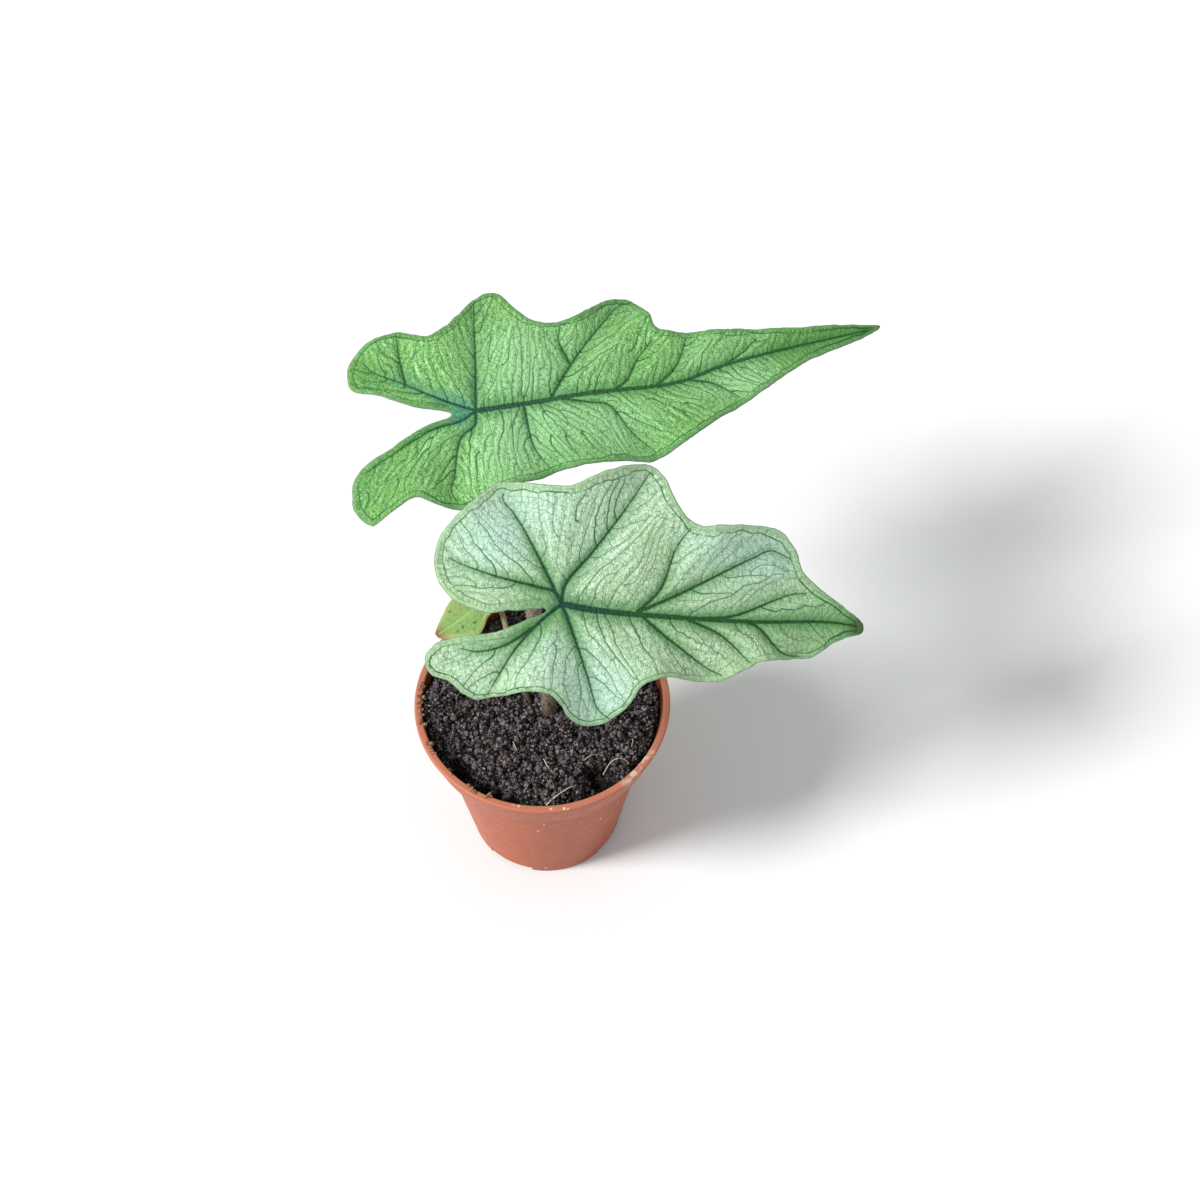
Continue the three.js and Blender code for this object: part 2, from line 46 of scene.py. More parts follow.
# The blades' drawings, as in the part's source: u runs ahead from the stalk, v to the left of it.
# heading, drop and roll are degrees, and swells are (u, v, radius, height). Patches are (u, v, radius,
# amount): pale ones are partly the leaf's own silvery colour and partly painted light, dull green ones
# partly its own colour and partly painted shade, brown ones dry and bloom bluish, and in those of
# rolled_edge the edge line fades. edge_lines are (distance from the edge, its share at the lower edge,
# strength), side_veins is (space between them, strength at root and tip), and net gives two levels of
# finer veins as (clearing, how well they keep to the main veins' course, strength). The widths are half
# widths at root and tip, and quilt is (height, reach). The first vein is the midrib.
UPPER_LEAF = {
    "junction": (-14.1, 39.6, 108),
    "heading": 16,
    "drop": 6,
    "roll": 12,
    "fold": 0.14,
    "side": 0.0035,
    "ahead": 0.0007,
    "back": 0.004,
    "quilt": (1.0, 5),
    "rib": 1.1,
    "swells": [
        (-26, 17, 10, -1.5), (11, 31, 9, -2), (23, 20, 8, 1.2), (43, 25, 9, -2.5),
        (-30, -20, 9, -2), (-15, -16, 6, 1.2), (-8, -23, 8, -1.5), (4, -19, 8, 0.8),
        (36, -18, 8, -1.5), (46, 14, 6, 0.8),
    ],
    "outline": [
        (102.5, 10), (92, 11.5), (81, 11.5), (65, 12.5), (50, 13.5), (46.5, 15), (46, 20),
        (43, 24.5), (40, 25), (36.5, 24.5), (29, 20.5), (24, 19), (21, 19), (18, 20), (15, 24),
        (12.5, 29.5), (9.5, 30.5), (6, 29), (3.5, 27), (-1, 23), (-4, 21), (-7, 20),
        (-10, 21.5), (-13, 23), (-17.5, 22.5), (-21, 21.5), (-25, 18), (-26.5, 14),
        (-26, 10.5), (-20.5, 7.5), (-13.5, 3), (-6, 0), (-12.5, -1.5), (-20, -5), (-27, -8),
        (-30, -11), (-31.5, -17.5), (-29, -22.5), (-28, -23), (-23, -21), (-18.5, -19.5),
        (-14.5, -21.5), (-10, -23.5), (-6, -24), (1, -22), (5, -21), (10, -20.5), (14, -19),
        (22, -18.5), (30, -18.5), (36, -19), (42.5, -17), (52, -12.5), (64.5, -6.5), (74, -1.5),
        (81, 2), (87, 4), (99, 8),
    ],
    "veins": [
        [(0, 0), (11, 0), (26, 0.5), (48, 0.5), (59.5, 3.4), (73.7, 5.8), (82.4, 7), (98.5, 9.2)],
        [(0, 0), (2.5, 11.5), (4, 19), (6, 27.5)],
        [(0, 0), (-7, 4), (-15, 10), (-20, 14), (-22, 17.5)],
        [(-14, 9), (-14, 15), (-13.5, 22)],
        [(17.5, 0.5), (24.5, 8.5), (34.5, 18), (39.4, 22.6), (43, 23.5)],
        [(24, 8), (22.5, 14), (23.5, 17)],
        [(43, 0.5), (48.5, 4.5), (53, 11.5)],
        [(32.5, 0.5), (36, 2.5), (40, 7.5), (44.5, 11.5)],
        [(59, 3), (66, 6.5), (70, 9.5)],
        [(0, 0), (-4, -2), (-10.5, -3), (-21, -7.5), (-27, -10)],
        [(0, 0), (-1, -3.5), (-5, -6.5), (-8.5, -15.5), (-10, -19), (-9, -22)],
        [(11, 0), (10.5, -12), (12.5, -17.5)],
        [(18.5, 0.5), (25.8, -1.7), (30, -3), (33.8, -11.2), (38, -16.5)],
        [(50, 1), (56.5, -1), (61.5, -5.5)],
    ],
    "edge_lines": [(1.35, 1.0, 0.9)],
    "midrib_width": (0.68, 0.24),
    "vein_width": (0.36, 0.11),
    "rolled_edge": [],
    "side_veins": (1.5, 1.0, 0.55),
    "net": [(0.85, 0.5, 0.3), (0.5, 0.3, 1)],
    # Pale patches: partly the leaf's own silvery colour, partly painted light
    "pale_and_painted_light": [
        (14, 9, 11, 0.9), (30, 12, 8, 0.3), (56, 1, 9, 0.6), (7, -9, 11, 1), (28, -8, 10, 0.9),
        (67, 0, 7, 0.6),
    ],
    # Dull green patches: partly the leaf's own colour, partly painted shade over the left lobes and the tip
    "dull_and_painted_shade": [
        (-24, -14, 10, 0.75), (-22, 13, 8, 0.75), (4, 25, 6, 0.5), (20, -17, 8, 0.35),
        (45, -12, 10, 0.2), (34, 22, 7, 0.2), (80, 6, 9, 0.8), (96, 9, 10, 1.2),
    ],
    "brown": [(101.5, 9.8, 2.2, 0.8), (-30.5, -20, 1.6, 0.4), (-27, 12, 1.6, 0.4)],
    "bloom": [
        (-3, 1.2, 3.2, 0.9), (-7.5, 4.8, 2.6, 0.7), (-12, 8.3, 2.2, 0.5), (-16, 11.5, 2, 0.35),
        (-4.5, -1.5, 2.2, 0.5), (1.5, 7, 1.8, 0.4), (3, 13, 1.6, 0.3),
    ],
    "seed": 11,
}

LOWER_LEAF = {
    "junction": (5.3, -5.4, 97),
    "heading": 2,
    "drop": 8,
    "roll": 30,
    "fold": 0.12,
    "side": 0.0045,
    "ahead": 0.0013,
    "back": 0.003,
    "quilt": (1.3, 5),
    "rib": 1.2,
    "swells": [
        (-27, 9, 9, -1.5), (-13, 27, 9, -1.5), (0, 25, 7, 1), (20, 31, 9, -2), (29, 19, 7, 1.5),
        (50, 16, 9, -2), (-28, -14, 9, -2), (-17, -21, 8, -1.5), (-4, -19, 7, 1),
        (9, -26, 9, -3), (20, -15, 6, 1), (33, -17, 7, -3), (44, -10, 6, 0.5), (56, -9, 7, -1.5),
    ],
    "outline": [
        (68.5, -0.5), (64, 3), (58.5, 6.5), (54, 10.5), (52.5, 15), (51, 17), (48, 19.5),
        (42.5, 20), (34.5, 19.5), (30, 19), (27.5, 20), (25, 23), (22, 29.5), (19, 32),
        (15, 32), (10, 30.5), (5.5, 28.5), (1, 26), (-5.5, 26), (-10.5, 26.5), (-15, 26),
        (-19, 23), (-24, 18), (-27, 13.5), (-28, 9), (-27, 4), (-24, 0), (-20, -2), (-16, -3),
        (-12, -2.5), (-8, -2), (-3.5, -1.5), (-8.5, -3.8), (-13, -6), (-17.5, -7), (-23, -8),
        (-27, -9.5), (-29, -13), (-27.5, -16.5), (-23.5, -18), (-20, -20.5), (-17, -21.5),
        (-11.5, -20.5), (-6, -19.5), (-2, -20), (0.5, -22), (2, -24), (5, -26), (8.5, -26),
        (11.5, -25), (16, -21), (17.5, -18), (20, -16), (25, -15), (30, -15.5), (36, -15),
        (42, -12), (44.5, -10.5), (52, -9.5), (57, -8.5), (61, -5.5), (64, -4), (68, -2.5),
    ],
    "veins": [
        [(0, 0), (8.5, -1), (25, -1.5), (42.5, -1.5), (60, -0.5), (66.5, -1)],
        [(0, 0), (-5.5, 10), (-11, 19), (-13.5, 22), (-13.5, 23.5)],
        [(0, 0), (-1.5, 2.5), (-5.5, 3.5), (-15, 5.5), (-22.5, 8), (-24.5, 9)],
        [(0, 0), (0.5, 4), (6.5, 12), (13.5, 22), (18.5, 30)],
        [(16.5, -1), (21.5, 4.5), (24.5, 13.5), (27.5, 18)],
        [(16.5, -1), (26.5, 4), (42, 12.5), (46.5, 14.5), (51, 13)],
        [(30.5, -1.5), (38, -0.5), (51, 5), (54.5, 5.5)],
        [(0, 0), (-3.5, -3), (-9.5, -10), (-15, -20)],
        [(-6, -5.5), (-12, -9.5), (-17.5, -11), (-21, -10.5)],
        [(0, 0), (1, -2), (6.5, -16), (9, -22), (11.5, -24)],
        [(17, -1), (22.5, -5.5), (32.5, -12), (36, -13.5)],
        [(27, -1.5), (35.5, -5), (42, -10.5)],
        [(40.5, -1.5), (43.5, -2.5), (49.5, -8), (53.5, -8.5)],
    ],
    "edge_lines": [(1.9, 0.55, 0.9), (0.8, 0.5, 0.3)],
    "midrib_width": (0.75, 0.26),
    "vein_width": (0.42, 0.12),
    "rolled_edge": [(38, -13, 13, 0.75), (50, -9, 6, 0.3), (-9, -3, 7, 0.7), (-19, -6.5, 5, 0.5)],
    "side_veins": (2.2, 0.95, 0.6),
    "net": [(0.95, 0.3, 0.3), (0.6, 0.2, 1)],
    # Pale patches: partly the leaf's own silvery colour, partly painted light
    "pale_and_painted_light": [
        (-16, 14, 9, 0.8), (-6, 21, 8, 0.4), (14, 26, 8, 0.3), (34, 14, 9, 0.6), (6, 14, 7, 0.3),
        (46, 13, 7, 0.7), (-18, -13, 8, 0.3), (-2, -10, 8, 0.4), (9, -20, 9, 0.9),
    ],
    # Dull green patches: partly the leaf's own colour, partly painted shade round the junction and over the
    # tip
    "dull_and_painted_shade": [
        (60, -2, 10, 0.9), (66.5, -1, 5, 0.7), (59, 6.5, 4, 0.5), (53.5, 13, 3.5, 0.5), (40, 4, 8, 0.3),
        (-8, -4, 6, 1), (50, -6, 8, 0.3), (-18, -8.5, 5, 0.8), (36, -13, 6, 0.3), (-2, -1, 5, 0.8),
        (-24, 7, 5, 0.3),
    ],
    "brown": [(67.8, -1.4, 3.6, 1)],
    "bloom": [(-0.5, 0.5, 1.8, 0.5)],
    "seed": 23,
}

OLD_LEAF = {
    "junction": (-12.8, 21.3, 62),
    "heading": 206,
    "drop": 26,
    "roll": 8,
    "fold": 0.1,
    "side": 0.02,
    "ahead": 0.01,
    "back": 0.02,
    "quilt": (0.3, 3),
    "rib": 0.5,
    "swells": [(9, 6, 4, 0.6), (15, 0, 3, 1)],
    "outline": [
        (16, 0.8), (14, 2.5), (11, 5), (7, 6.8), (4.5, 6), (2.5, 4.6), (-1, 4), (-2.8, 2),
        (-1, 0.3), (-2.8, -1.2), (-3, -3.5), (0, -5.2), (4, -6), (9, -5.2), (13.5, -2.8),
        (16.2, -0.8),
    ],
    "veins": [[(0, 0), (7, 0.3), (15, 0)]],
    "edge_lines": [(0.9, 1.0, 0.3)],
    "midrib_width": (0.3, 0.12),
    "vein_width": (0.2, 0.1),
    "rolled_edge": [],
    "side_veins": (1.6, 0.6, 0.4),
    "net": [(0.8, 0.3, 0.3), (0.6, 0.2, 1)],
    "pale_and_painted_light": [(8, 3, 6, 0.3)],
    "dull_and_painted_shade": [(8, -5, 3, 0.6)],
    "brown": [(16.3, 0, 2.6, 1.2)],
    "bloom": [],
    "seed": 31,
}

BLADE_THICKNESS = 0.6
EDGE_THICKNESS = 0.32
RIB_TAPER = 55
CREASE_ROUNDING = 3
LINE_STEP = 0.3
EDGE_STEP = 0.3
FINE_STEP = 0.3
COARSE_STEP = 0.5
TIP_REACH = 12
LONGEST_VEIN = 60

# Small waves of a blade's edge as (height, wavelength), and how far in the edge is held for them
EDGE_WAVES = [(0.22, 3.2), (0.1, 1.1)]
EDGE_HOLD = 0.33

# Relief of a blade: the grooves over its veins, the ribs under its side veins, the drooping edge,
# and the unevenness of living tissue. A vein of STRONG_HALF_WIDTH has the full groove and rib.
STRONG_HALF_WIDTH = 0.34
GROOVE_DEPTH = 0.42
GROOVE_SHOULDER = 0.45
SIDE_GROOVE_DEPTH = 0.15
SIDE_RIB_HEIGHT = 0.13
SIDE_RIB_WIDTH = 0.5
NET_GROOVE_DEPTH = 0.06
EDGE_DROOP = 0.22
EDGE_DROOP_WIDTH = 0.9
UNEVENNESS = 0.16
UNEVENNESS_LENGTH = 3.5

# Leafstalks: the middle of each, its radii at foot and top, and how far under the blade's drawing
# it ends, which is inside the rib
STALK_FOOT = 40.3
STALKS = {
    "upper": {
        "route": [(0.7, 3.1, STALK_FOOT), (0.8, 3.3, 47), (-0.6, 9, 60), (-3.8, 18.5, 77), (-9, 31, 95)],
        "radii": (2.0, 1.5),
        "depth": 2.1,
        "leaf": UPPER_LEAF,
        "slot": "stalk_skin",
    },
    "lower": {
        "route": [(1.5, -1.2, STALK_FOOT), (1.5, -1.3, 47), (1.6, 0.6, 62), (2.6, 1.4, 80)],
        "radii": (1.9, 1.4),
        "depth": 2.1,
        "leaf": LOWER_LEAF,
        "slot": "stalk_skin",
    },
    "old": {
        "route": [(-2.9, 0.6, STALK_FOOT), (-3.1, 0.9, 47), (-6.5, 8, 54)],
        "radii": (0.8, 0.6),
        "depth": 0.9,
        "leaf": OLD_LEAF,
        "slot": "old_stalk_skin",
    },
}

# Pot: corners of its section as (radius, height, how far the corner is rounded)
POT_SECTION = [
    (0, 0, 0), (18.4, 0, 0.5), (25.2, 41, 0.2), (27.5, 41, 0.4), (29.7, 48.5, 0.5),
    (30, 49.2, 0.3), (29.85, 50, 0.35), (28.3, 50, 0.35), (26.7, 42, 0.3), (24.5, 41.6, 0.3),
    (17.3, 1, 0.5), (0, 1, 0),
]
POT_SIDES = 176
SLOT_COUNT = 4
SLOT_FIRST_ANGLE = -118
SLOT_WIDTH_ANGLE = 36
SLOT_HEIGHT = 1.8
SLOT_INNER_RADIUS = 14.6
SLOT_ROOF = 1.1
DRAIN_WIDTH_ANGLE = 18
DRAIN_RADII = (15.6, 17.2)
BASE_RADIUS = 18.4
POT_SHARP_ANGLE = 32

# Marks on the pot that the photograph shows: (place, radius, colour). The pale ones on the lip's top, at 50
# mm, are painted highlights.
POT_MARKS_AND_HIGHLIGHTS = [
    ((0.4, -23.9, 33.1), 0.4, "#ecd6cb"),
    ((13.7, -18.0, 25.5), 0.4, "#ecd6cb"),
    ((-1.1, -23.2, 29.0), 0.35, "#ecd6cb"),
    ((0.2, -18.8, 2.3), 0.35, "#ecd6cb"),
    ((5.2, -27.0, 41.2), 0.5, "#d9a08c"),
    ((2.4, -29.2, 50.0), 0.4, "#dcb7a7"),
    ((5.4, -29.0, 50.0), 0.4, "#e4c5b8"),
    ((6.3, -29.2, 50.0), 0.3, "#dcb7a7"),
    ((-5.0, -28.4, 50.0), 0.4, "#d6ae9d"),
    ((-6.2, -28.1, 50.0), 0.3, "#d6ae9d"),
    ((-15.9, -13.8, 16.2), 0.4, "#7c4433"),
    ((-14.0, -16.2, 18.5), 0.4, "#7c4433"),
]
LIME_PLACE = (22.7, -18.4, 50.0)
LIME_REACH = 7
# The edges of marks wander by this much at most
MARK_SWAY = 0.4

# Soil: a low dome of crumbs, highest round the stalks
SOIL_CENTRE_HEIGHT = 47
SOIL_EDGE_HEIGHT = 45
SOIL_EDGE_RADIUS = 26.9
SOIL_LUMP = 0.35
# Where crumbs are banked up against the wall or have sunk, as (x, y, radius, height)
SOIL_SWELLS = [
    (-28, 0, 6, 1.6), (-27, 1, 10, 3.2), (27, 2, 9, 2.8), (-2, 27, 15, 3.2), (12.9, -18, 3.3, -4.4),
    (-19, -17.5, 3.5, -3), (-11, -22.5, 3.5, -2.6), (6, -4, 5, 0.6), (-9, -12, 4, 0.5),
    (20, -4, 2.5, -1.4), (-16, -9, 2.5, -1.2),
]
SOIL_WALL = [(26.2, 42.25), (24.3, 42.0), (23.95, 41.0), (17.4, 3.2)]
SOIL_STEP = 0.36
SOIL_SIDES = 460
# How the soil's surface varies: small roughness, clods, and the gap that it has left at the wall
SOIL_ROUGHNESS = 0.3
SOIL_CLODS = 0.8
SHRINK_RADIUS = 24.2
SHRINK_WIDTH = 2.4
SHRINK_DEPTH = 0.9
# How far the wall leans outwards for each millimetre of height
WALL_LEAN = 0.19
# Stretches of the lip that crumbs lie on, in degrees
LIP_CRUMB_ANGLES = [(170, 196), (203, 211), (221, 226), (234, 240), (243, 247)]
# Rootlets on the soil, each as (points, radius)
ROOT_FIBRES = [
    ([(1.2, -25.7), (4.8, -23), (8.4, -20.5)], 0.17),
    ([(0.4, -14.4), (1.3, -16.4), (2.7, -18)], 0.11),
    ([(9.8, -14.4), (11.6, -13.4), (13.3, -12.9)], 0.09),
    ([(14.2, -16.4), (16.3, -14.5), (18.6, -13.9), (20.4, -14.8)], 0.1),
    ([(-6.7, -9.9), (-6.2, -11.5), (-5.4, -12.9)], 0.11),
    ([(21, -8.7), (21.1, -9.7), (20.8, -10.7)], 0.1),
]


def linear(hex_colour):
    """A colour written as sRGB hex, as the linear RGBA that a shader takes."""
    parts = [int(hex_colour[i:i + 2], 16) / 255 for i in (1, 3, 5)]
    return [*(c / 12.92 if c <= 0.04045 else ((c + 0.055) / 1.055) ** 2.4 for c in parts), 1.0]


def add(tree, kind, inputs=None, out=0, **settings):
    """Adds a node with its settings. An input is a number, a hex colour or another node's output."""
    made = tree.nodes.new(kind)
    for name, value in settings.items():
        setattr(made, name, value)
    for name, value in (inputs or {}).items():
        socket = made.inputs[name]
        if isinstance(value, bpy.types.NodeSocket):
            tree.links.new(value, socket)
        elif isinstance(value, str) and value.startswith("#"):
            socket.default_value = linear(value)
        else:
            socket.default_value = value
    return made.outputs[out] if len(made.outputs) else made


# Sockets of the Mix node when it mixes colours
MIX_FACTOR = 0
MIX_A = 6
MIX_B = 7
MIX_OUT = 2


def new_material(name):
    """An empty material and its node tree."""
    material = bpy.data.materials.new(name)
    material.use_nodes = True
    material.node_tree.nodes.clear()
    return material, material.node_tree


def finish_material(tree, inputs):
    """Ends a material in one Principled shader."""
    shader = add(tree, "ShaderNodeBsdfPrincipled", inputs)
    add(tree, "ShaderNodeOutputMaterial", {"Surface": shader})


def paint_over(tree, below, *layers):
    """Lays colours over one another, each layer as (value, start, full, most, colour).

    A layer begins where its value is start, and where the value reaches full it covers by most.
    """
    for value, start, full, most, colour in layers:
        amount = add(tree, "ShaderNodeMapRange", {
            "Value": value, "From Min": start, "From Max": full, "To Max": most,
        })
        inputs = {MIX_FACTOR: amount, MIX_A: below, MIX_B: colour}
        below = add(tree, "ShaderNodeMix", inputs, MIX_OUT, data_type="RGBA")
    return below


def smooth_path(points, step, closed=False):
    """Evenly spaced points along the centripetal Catmull-Rom curve through the given ones."""
    p = np.array(points, float)
    if closed:
        p = np.vstack([p[-1:], p, p[:2]])
    else:
        p = np.vstack([2 * p[:1] - p[1:2], p, 2 * p[-1:] - p[-2:-1]])
    s = np.linspace(0, 1, 24, endpoint=False)[:, None]
    pieces = []
    for a, b, c, d in zip(p, p[1:], p[2:], p[3:]):
        before, here, after = (math.sqrt(np.linalg.norm(y - x)) for x, y in ((a, b), (b, c), (c, d)))
        leave = ((b - a) / before - (c - a) / (before + here) + (c - b) / here) * here
        reach = ((c - b) / here - (d - b) / (here + after) + (d - c) / after) * here
        square = 3 * (c - b) - 2 * leave - reach
        cube = 2 * (b - c) + leave + reach
        pieces.append(b + leave * s + square * s ** 2 + cube * s ** 3)
    curve = np.vstack([*pieces, pieces[0][:1] if closed else p[-2:-1]])
    along = np.concatenate([[0], np.cumsum(np.linalg.norm(np.diff(curve, axis=0), axis=1))])
    stops = np.linspace(0, along[-1], max(2, round(along[-1] / step)) + 1)
    even = np.stack([np.interp(stops, along, curve[:, k]) for k in range(p.shape[1])], 1)
    return even[:-1] if closed else even


def unit(vectors):
    """The vectors, each brought to length one."""
    return vectors / np.maximum(np.linalg.norm(vectors, axis=-1, keepdims=True), 1e-9)


def point_tree(points):
    """A search tree over flat or solid points."""
    tree = kdtree.KDTree(len(points))
    for i, point in enumerate(points):
        tree.insert((*point, 0)[:3], i)
    tree.balance()
    return tree


def nearest(points, targets):
    """For each point, which target is nearest and how far off it is."""
    tree = point_tree(targets)
    found = [tree.find((*point, 0)[:3])[1:] for point in points]
    which, gap = zip(*found)
    return np.array(which), np.array(gap)


def inside(outline, points):
    """Which of the points lie inside a closed outline."""
    u, v = points.T
    result = np.zeros(len(points), bool)
    for (au, av), (bu, bv) in zip(outline, np.roll(outline, 1, axis=0)):
        if av != bv:
            result ^= ((av > v) != (bv > v)) & (u < (bu - au) * (v - av) / (bv - av) + au)
    return result


def field(low, high, step, jitter, rng):
    """A grid of points in close-packed rows over a box, each moved a little."""
    row = step * math.sqrt(0.75)
    i, j = np.meshgrid(
        np.arange(math.floor(low[1] / row), math.ceil(high[1] / row)),
        np.arange(math.floor(low[0] / step), math.ceil(high[0] / step)),
    )
    points = np.stack([(j + (i % 2) / 2) * step, i * row], -1).reshape(-1, 2)
    return points + rng.uniform(-jitter, jitter, points.shape) * step


def thinned(points, space):
    """The points, with only the first of those that share a small square."""
    squares = np.round(points / space).astype(int)
    return points[np.sort(np.unique(squares, axis=0, return_index=True)[1])]


def apart(points, others, space):
    """The points that keep some space to the others."""
    return points[nearest(points, others)[1] > space]


def mesh_object(name, points, faces, attributes=None, smooth_angle=60):
    """A mesh from points in millimetres, with numbers or vectors stored at its points."""
    mesh = bpy.data.meshes.new(name)
    mesh.from_pydata((np.asarray(points) * MM).tolist(), [], faces)
    for key, values in (attributes or {}).items():
        values = np.asarray(values, np.float32)
        if values.ndim == 1:
            mesh.attributes.new(key, "FLOAT", "POINT").data.foreach_set("value", values)
        else:
            mesh.attributes.new(key, "FLOAT_VECTOR", "POINT").data.foreach_set("vector", values.ravel())
    mesh.validate()
    mesh.shade_smooth()
    mesh.set_sharp_from_angle(angle=math.radians(smooth_angle))
    made = bpy.data.objects.new(name, mesh)
    bpy.context.scene.collection.objects.link(made)
    return made


def keep_piece(piece, material, slot, *replaced):
    """Gives a finished piece its material and its body, and hides the nodes that it stands for. Its slot is
    not used.
    """
    piece.data.materials.clear()
    piece.data.materials.append(material)
    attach(piece, "root")
    if replaced:
        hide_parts(*replaced)


# Blades

def blade_frame(leaf):
    """The directions ahead, left and up of a blade, as columns."""
    heading, drop, roll = (math.radians(leaf[key]) for key in ("heading", "drop", "roll"))
    ahead = np.array([
        math.cos(drop) * math.cos(heading),
        math.cos(drop) * math.sin(heading),
        -math.sin(drop),
    ])
    left = unit(np.cross([0, -math.sin(roll), math.cos(roll)], ahead))
    return np.stack([ahead, left, np.cross(ahead, left)], 1)


def on_blade(leaf, flat, height):
    """Points of the plant from a blade's own u, v and height."""
    local = np.column_stack([flat, height])
    return local @ blade_frame(leaf).T + np.array(leaf["junction"])


def blade_height(leaf, flat, vein_gap):
    """Height of a blade's upper face over its flat drawing, as in the part's source."""
    u, v = flat.T
    bend = np.where(u > 0, leaf["ahead"], leaf["back"])
    height = leaf["fold"] * (np.hypot(v, CREASE_ROUNDING) - CREASE_ROUNDING)
    height = height - leaf["side"] * v ** 2 - bend * u ** 2
    quilt, reach = leaf["quilt"]
    return height + patches(leaf["swells"], flat) + quilt * (1 - np.exp(-(vein_gap / reach) ** 2))


def patches(spots, flat):
    """The sum of soft round spots, each (u, v, radius, amount)."""
    u, v = flat.T
    total = np.zeros(len(flat))
    for su, sv, radius, amount in spots:
        total += amount * np.exp(-((u - su) ** 2 + (v - sv) ** 2) / radius ** 2)
    return total


def vein_course(main, headings, chains, outline):
    """Gives a function for the way that side veins run: as the main veins on the same side do."""
    midrib = main[chains == 0]

    def is_left(where):
        return where[:, 1] > np.interp(where[:, 0], midrib[:, 0], midrib[:, 1])

    ends = np.array([main[chains == number][-1] for number in range(chains.max() + 1)])
    vein_left = is_left(ends)[chains]
    low = outline.min(0) - 2
    size = np.ceil(outline.max(0) + 3 - low).astype(int)
    cells = np.stack(np.meshgrid(*map(np.arange, size), indexing="ij"), -1).reshape(-1, 2) + low
    left = is_left(cells)
    ways = np.where(left[:, None], (0.01, 0.01), (0.01, -0.01))
    for on_left in (True, False):
        veins = (vein_left == on_left) & (chains > 0)
        here = left == on_left
        apart_by = np.linalg.norm(cells[here][:, None] - main[veins][None], axis=2)
        ways[here] += (1 / (apart_by ** 2 + 1) ** 1.5) @ headings[veins]
    which, gap = nearest(cells, main)
    leave = unit(cells - main[which]) * 0.75 * np.exp(-gap / 4)[:, None]
    ways = unit(unit(ways) + leave).reshape(*size, 2)

    def course(where):
        i, j = np.clip(np.round(where - low).astype(int), 0, size - 1).T
        return ways[i, j]

    return course


def trace_veins(course, older, outline, kind, rng):
    """Side veins that run along the course and evenly apart, and how strong they are along their way.

    kind is (space between them, strength at root and tip), and some are weaker than others.

    Each starts in the open, is traced back to the older vein that it branches from, and on
    to the vein or edge line that it ends in.
    """
    space, root, tip = kind
    step = LINE_STEP
    squares = {}

    def put(points):
        for point in points:
            squares.setdefault((int(point[0] // space), int(point[1] // space)), []).append(point)

    def closest(place):
        i, j = int(place[0] // space), int(place[1] // space)
        near = [p for k in (i - 1, i, i + 1) for m in (j - 1, j, j + 1) for p in squares.get((k, m), ())]
        if not near:
            return place, space
        gaps = np.linalg.norm(np.array(near) - place, axis=1)
        return near[gaps.argmin()], gaps.min()

    def follow(start, sign):
        here, turn, line = start, 0.0, []
        heading = sign * course(start[None])[0]
        while len(line) < LONGEST_VEIN / step:
            turn = 0.8 * turn + rng.normal(0, 0.13)
            x, y = sign * course(here[None])[0]
            way = np.array([x - turn * y, y + turn * x])
            other, gap = closest(here)
            if gap < 0.3 * space:
                share = np.linspace(0, 1, 2 + int(gap / step))[1:, None]
                return line + list(here + share * (other - here))
            if sign < 0 and gap < space:
                way = way + 1.2 * (1 - gap / space) * unit(other - here)
            heading = unit(unit(way) + 0.7 * heading)
            here = here + step * heading
            line.append(here)
        return line

    put(older)
    starts = field(outline.min(0), outline.max(0), 0.7 * space, 0.4, rng)
    starts = apart(starts[inside(outline, starts)], outline, space)
    lines, powers = [], []
    for start in rng.permutation(starts):
        if closest(start)[1] < 0.85 * space:
            continue
        back, on = follow(start, -1), follow(start, 1)
        line = np.array([*back[::-1], start, *on])
        line = line[inside(outline, line)]
        if len(line) > 8:
            put(line)
            lines.append(line)
            powers.append(rng.uniform(0.5, 1.05) * np.linspace(root, tip, len(line)))
    return np.vstack(lines), np.concatenate(powers)


def grow_veins(starts, headings, course, seeds, clearing, carry, lean, rng):
    """Veins that grow step by step towards seeds scattered over the blade.

    Each seed pulls the nearest point of the veins, and is used up once a vein comes near it.
    carry keeps a vein's own heading, and lean turns it to the course there.
    Returns all points with each one's parent, the starts first.
    """
    points = starts.copy()
    headings = headings.copy()
    guides = course(points + 1.5 * headings)
    parents = np.full(len(points), -1)
    which = np.zeros(len(seeds), int)
    gap = np.full(len(seeds), np.inf)
    fresh = np.arange(len(points))
    taken = set(map(tuple, np.round(points / (0.6 * LINE_STEP)).astype(int)))
    while len(fresh) and len(seeds):
        for part in np.array_split(fresh, max(1, len(fresh) // 400)):
            distance = np.linalg.norm(seeds[:, None] - points[part][None], axis=2)
            closest = distance.argmin(1)
            shorter = distance[np.arange(len(seeds)), closest]
            nearer = shorter < gap
            which[nearer] = part[closest[nearer]]
            gap[nearer] = shorter[nearer]
        left = gap > clearing
        seeds, which, gap = seeds[left], which[left], gap[left]
        pull = np.zeros_like(points)
        np.add.at(pull, which, unit(seeds - points[which]))
        growing = np.unique(which)
        way = unit(pull[growing]) + carry * headings[growing] + lean * guides[growing]
        way = unit(unit(way) + rng.normal(0, 0.17, way.shape))
        tips = points[growing] + LINE_STEP * way
        cells = list(map(tuple, np.round(tips / (0.6 * LINE_STEP)).astype(int)))
        new = []
        for k, cell in enumerate(cells):
            if cell not in taken:
                taken.add(cell)
                new.append(k)
        fresh = np.arange(len(points), len(points) + len(new))
        points = np.vstack([points, tips[new]])
        headings = np.vstack([headings, way[new]])
        guides = np.vstack([guides, course(tips[new])])
        parents = np.concatenate([parents, growing[new]])
    return points, parents


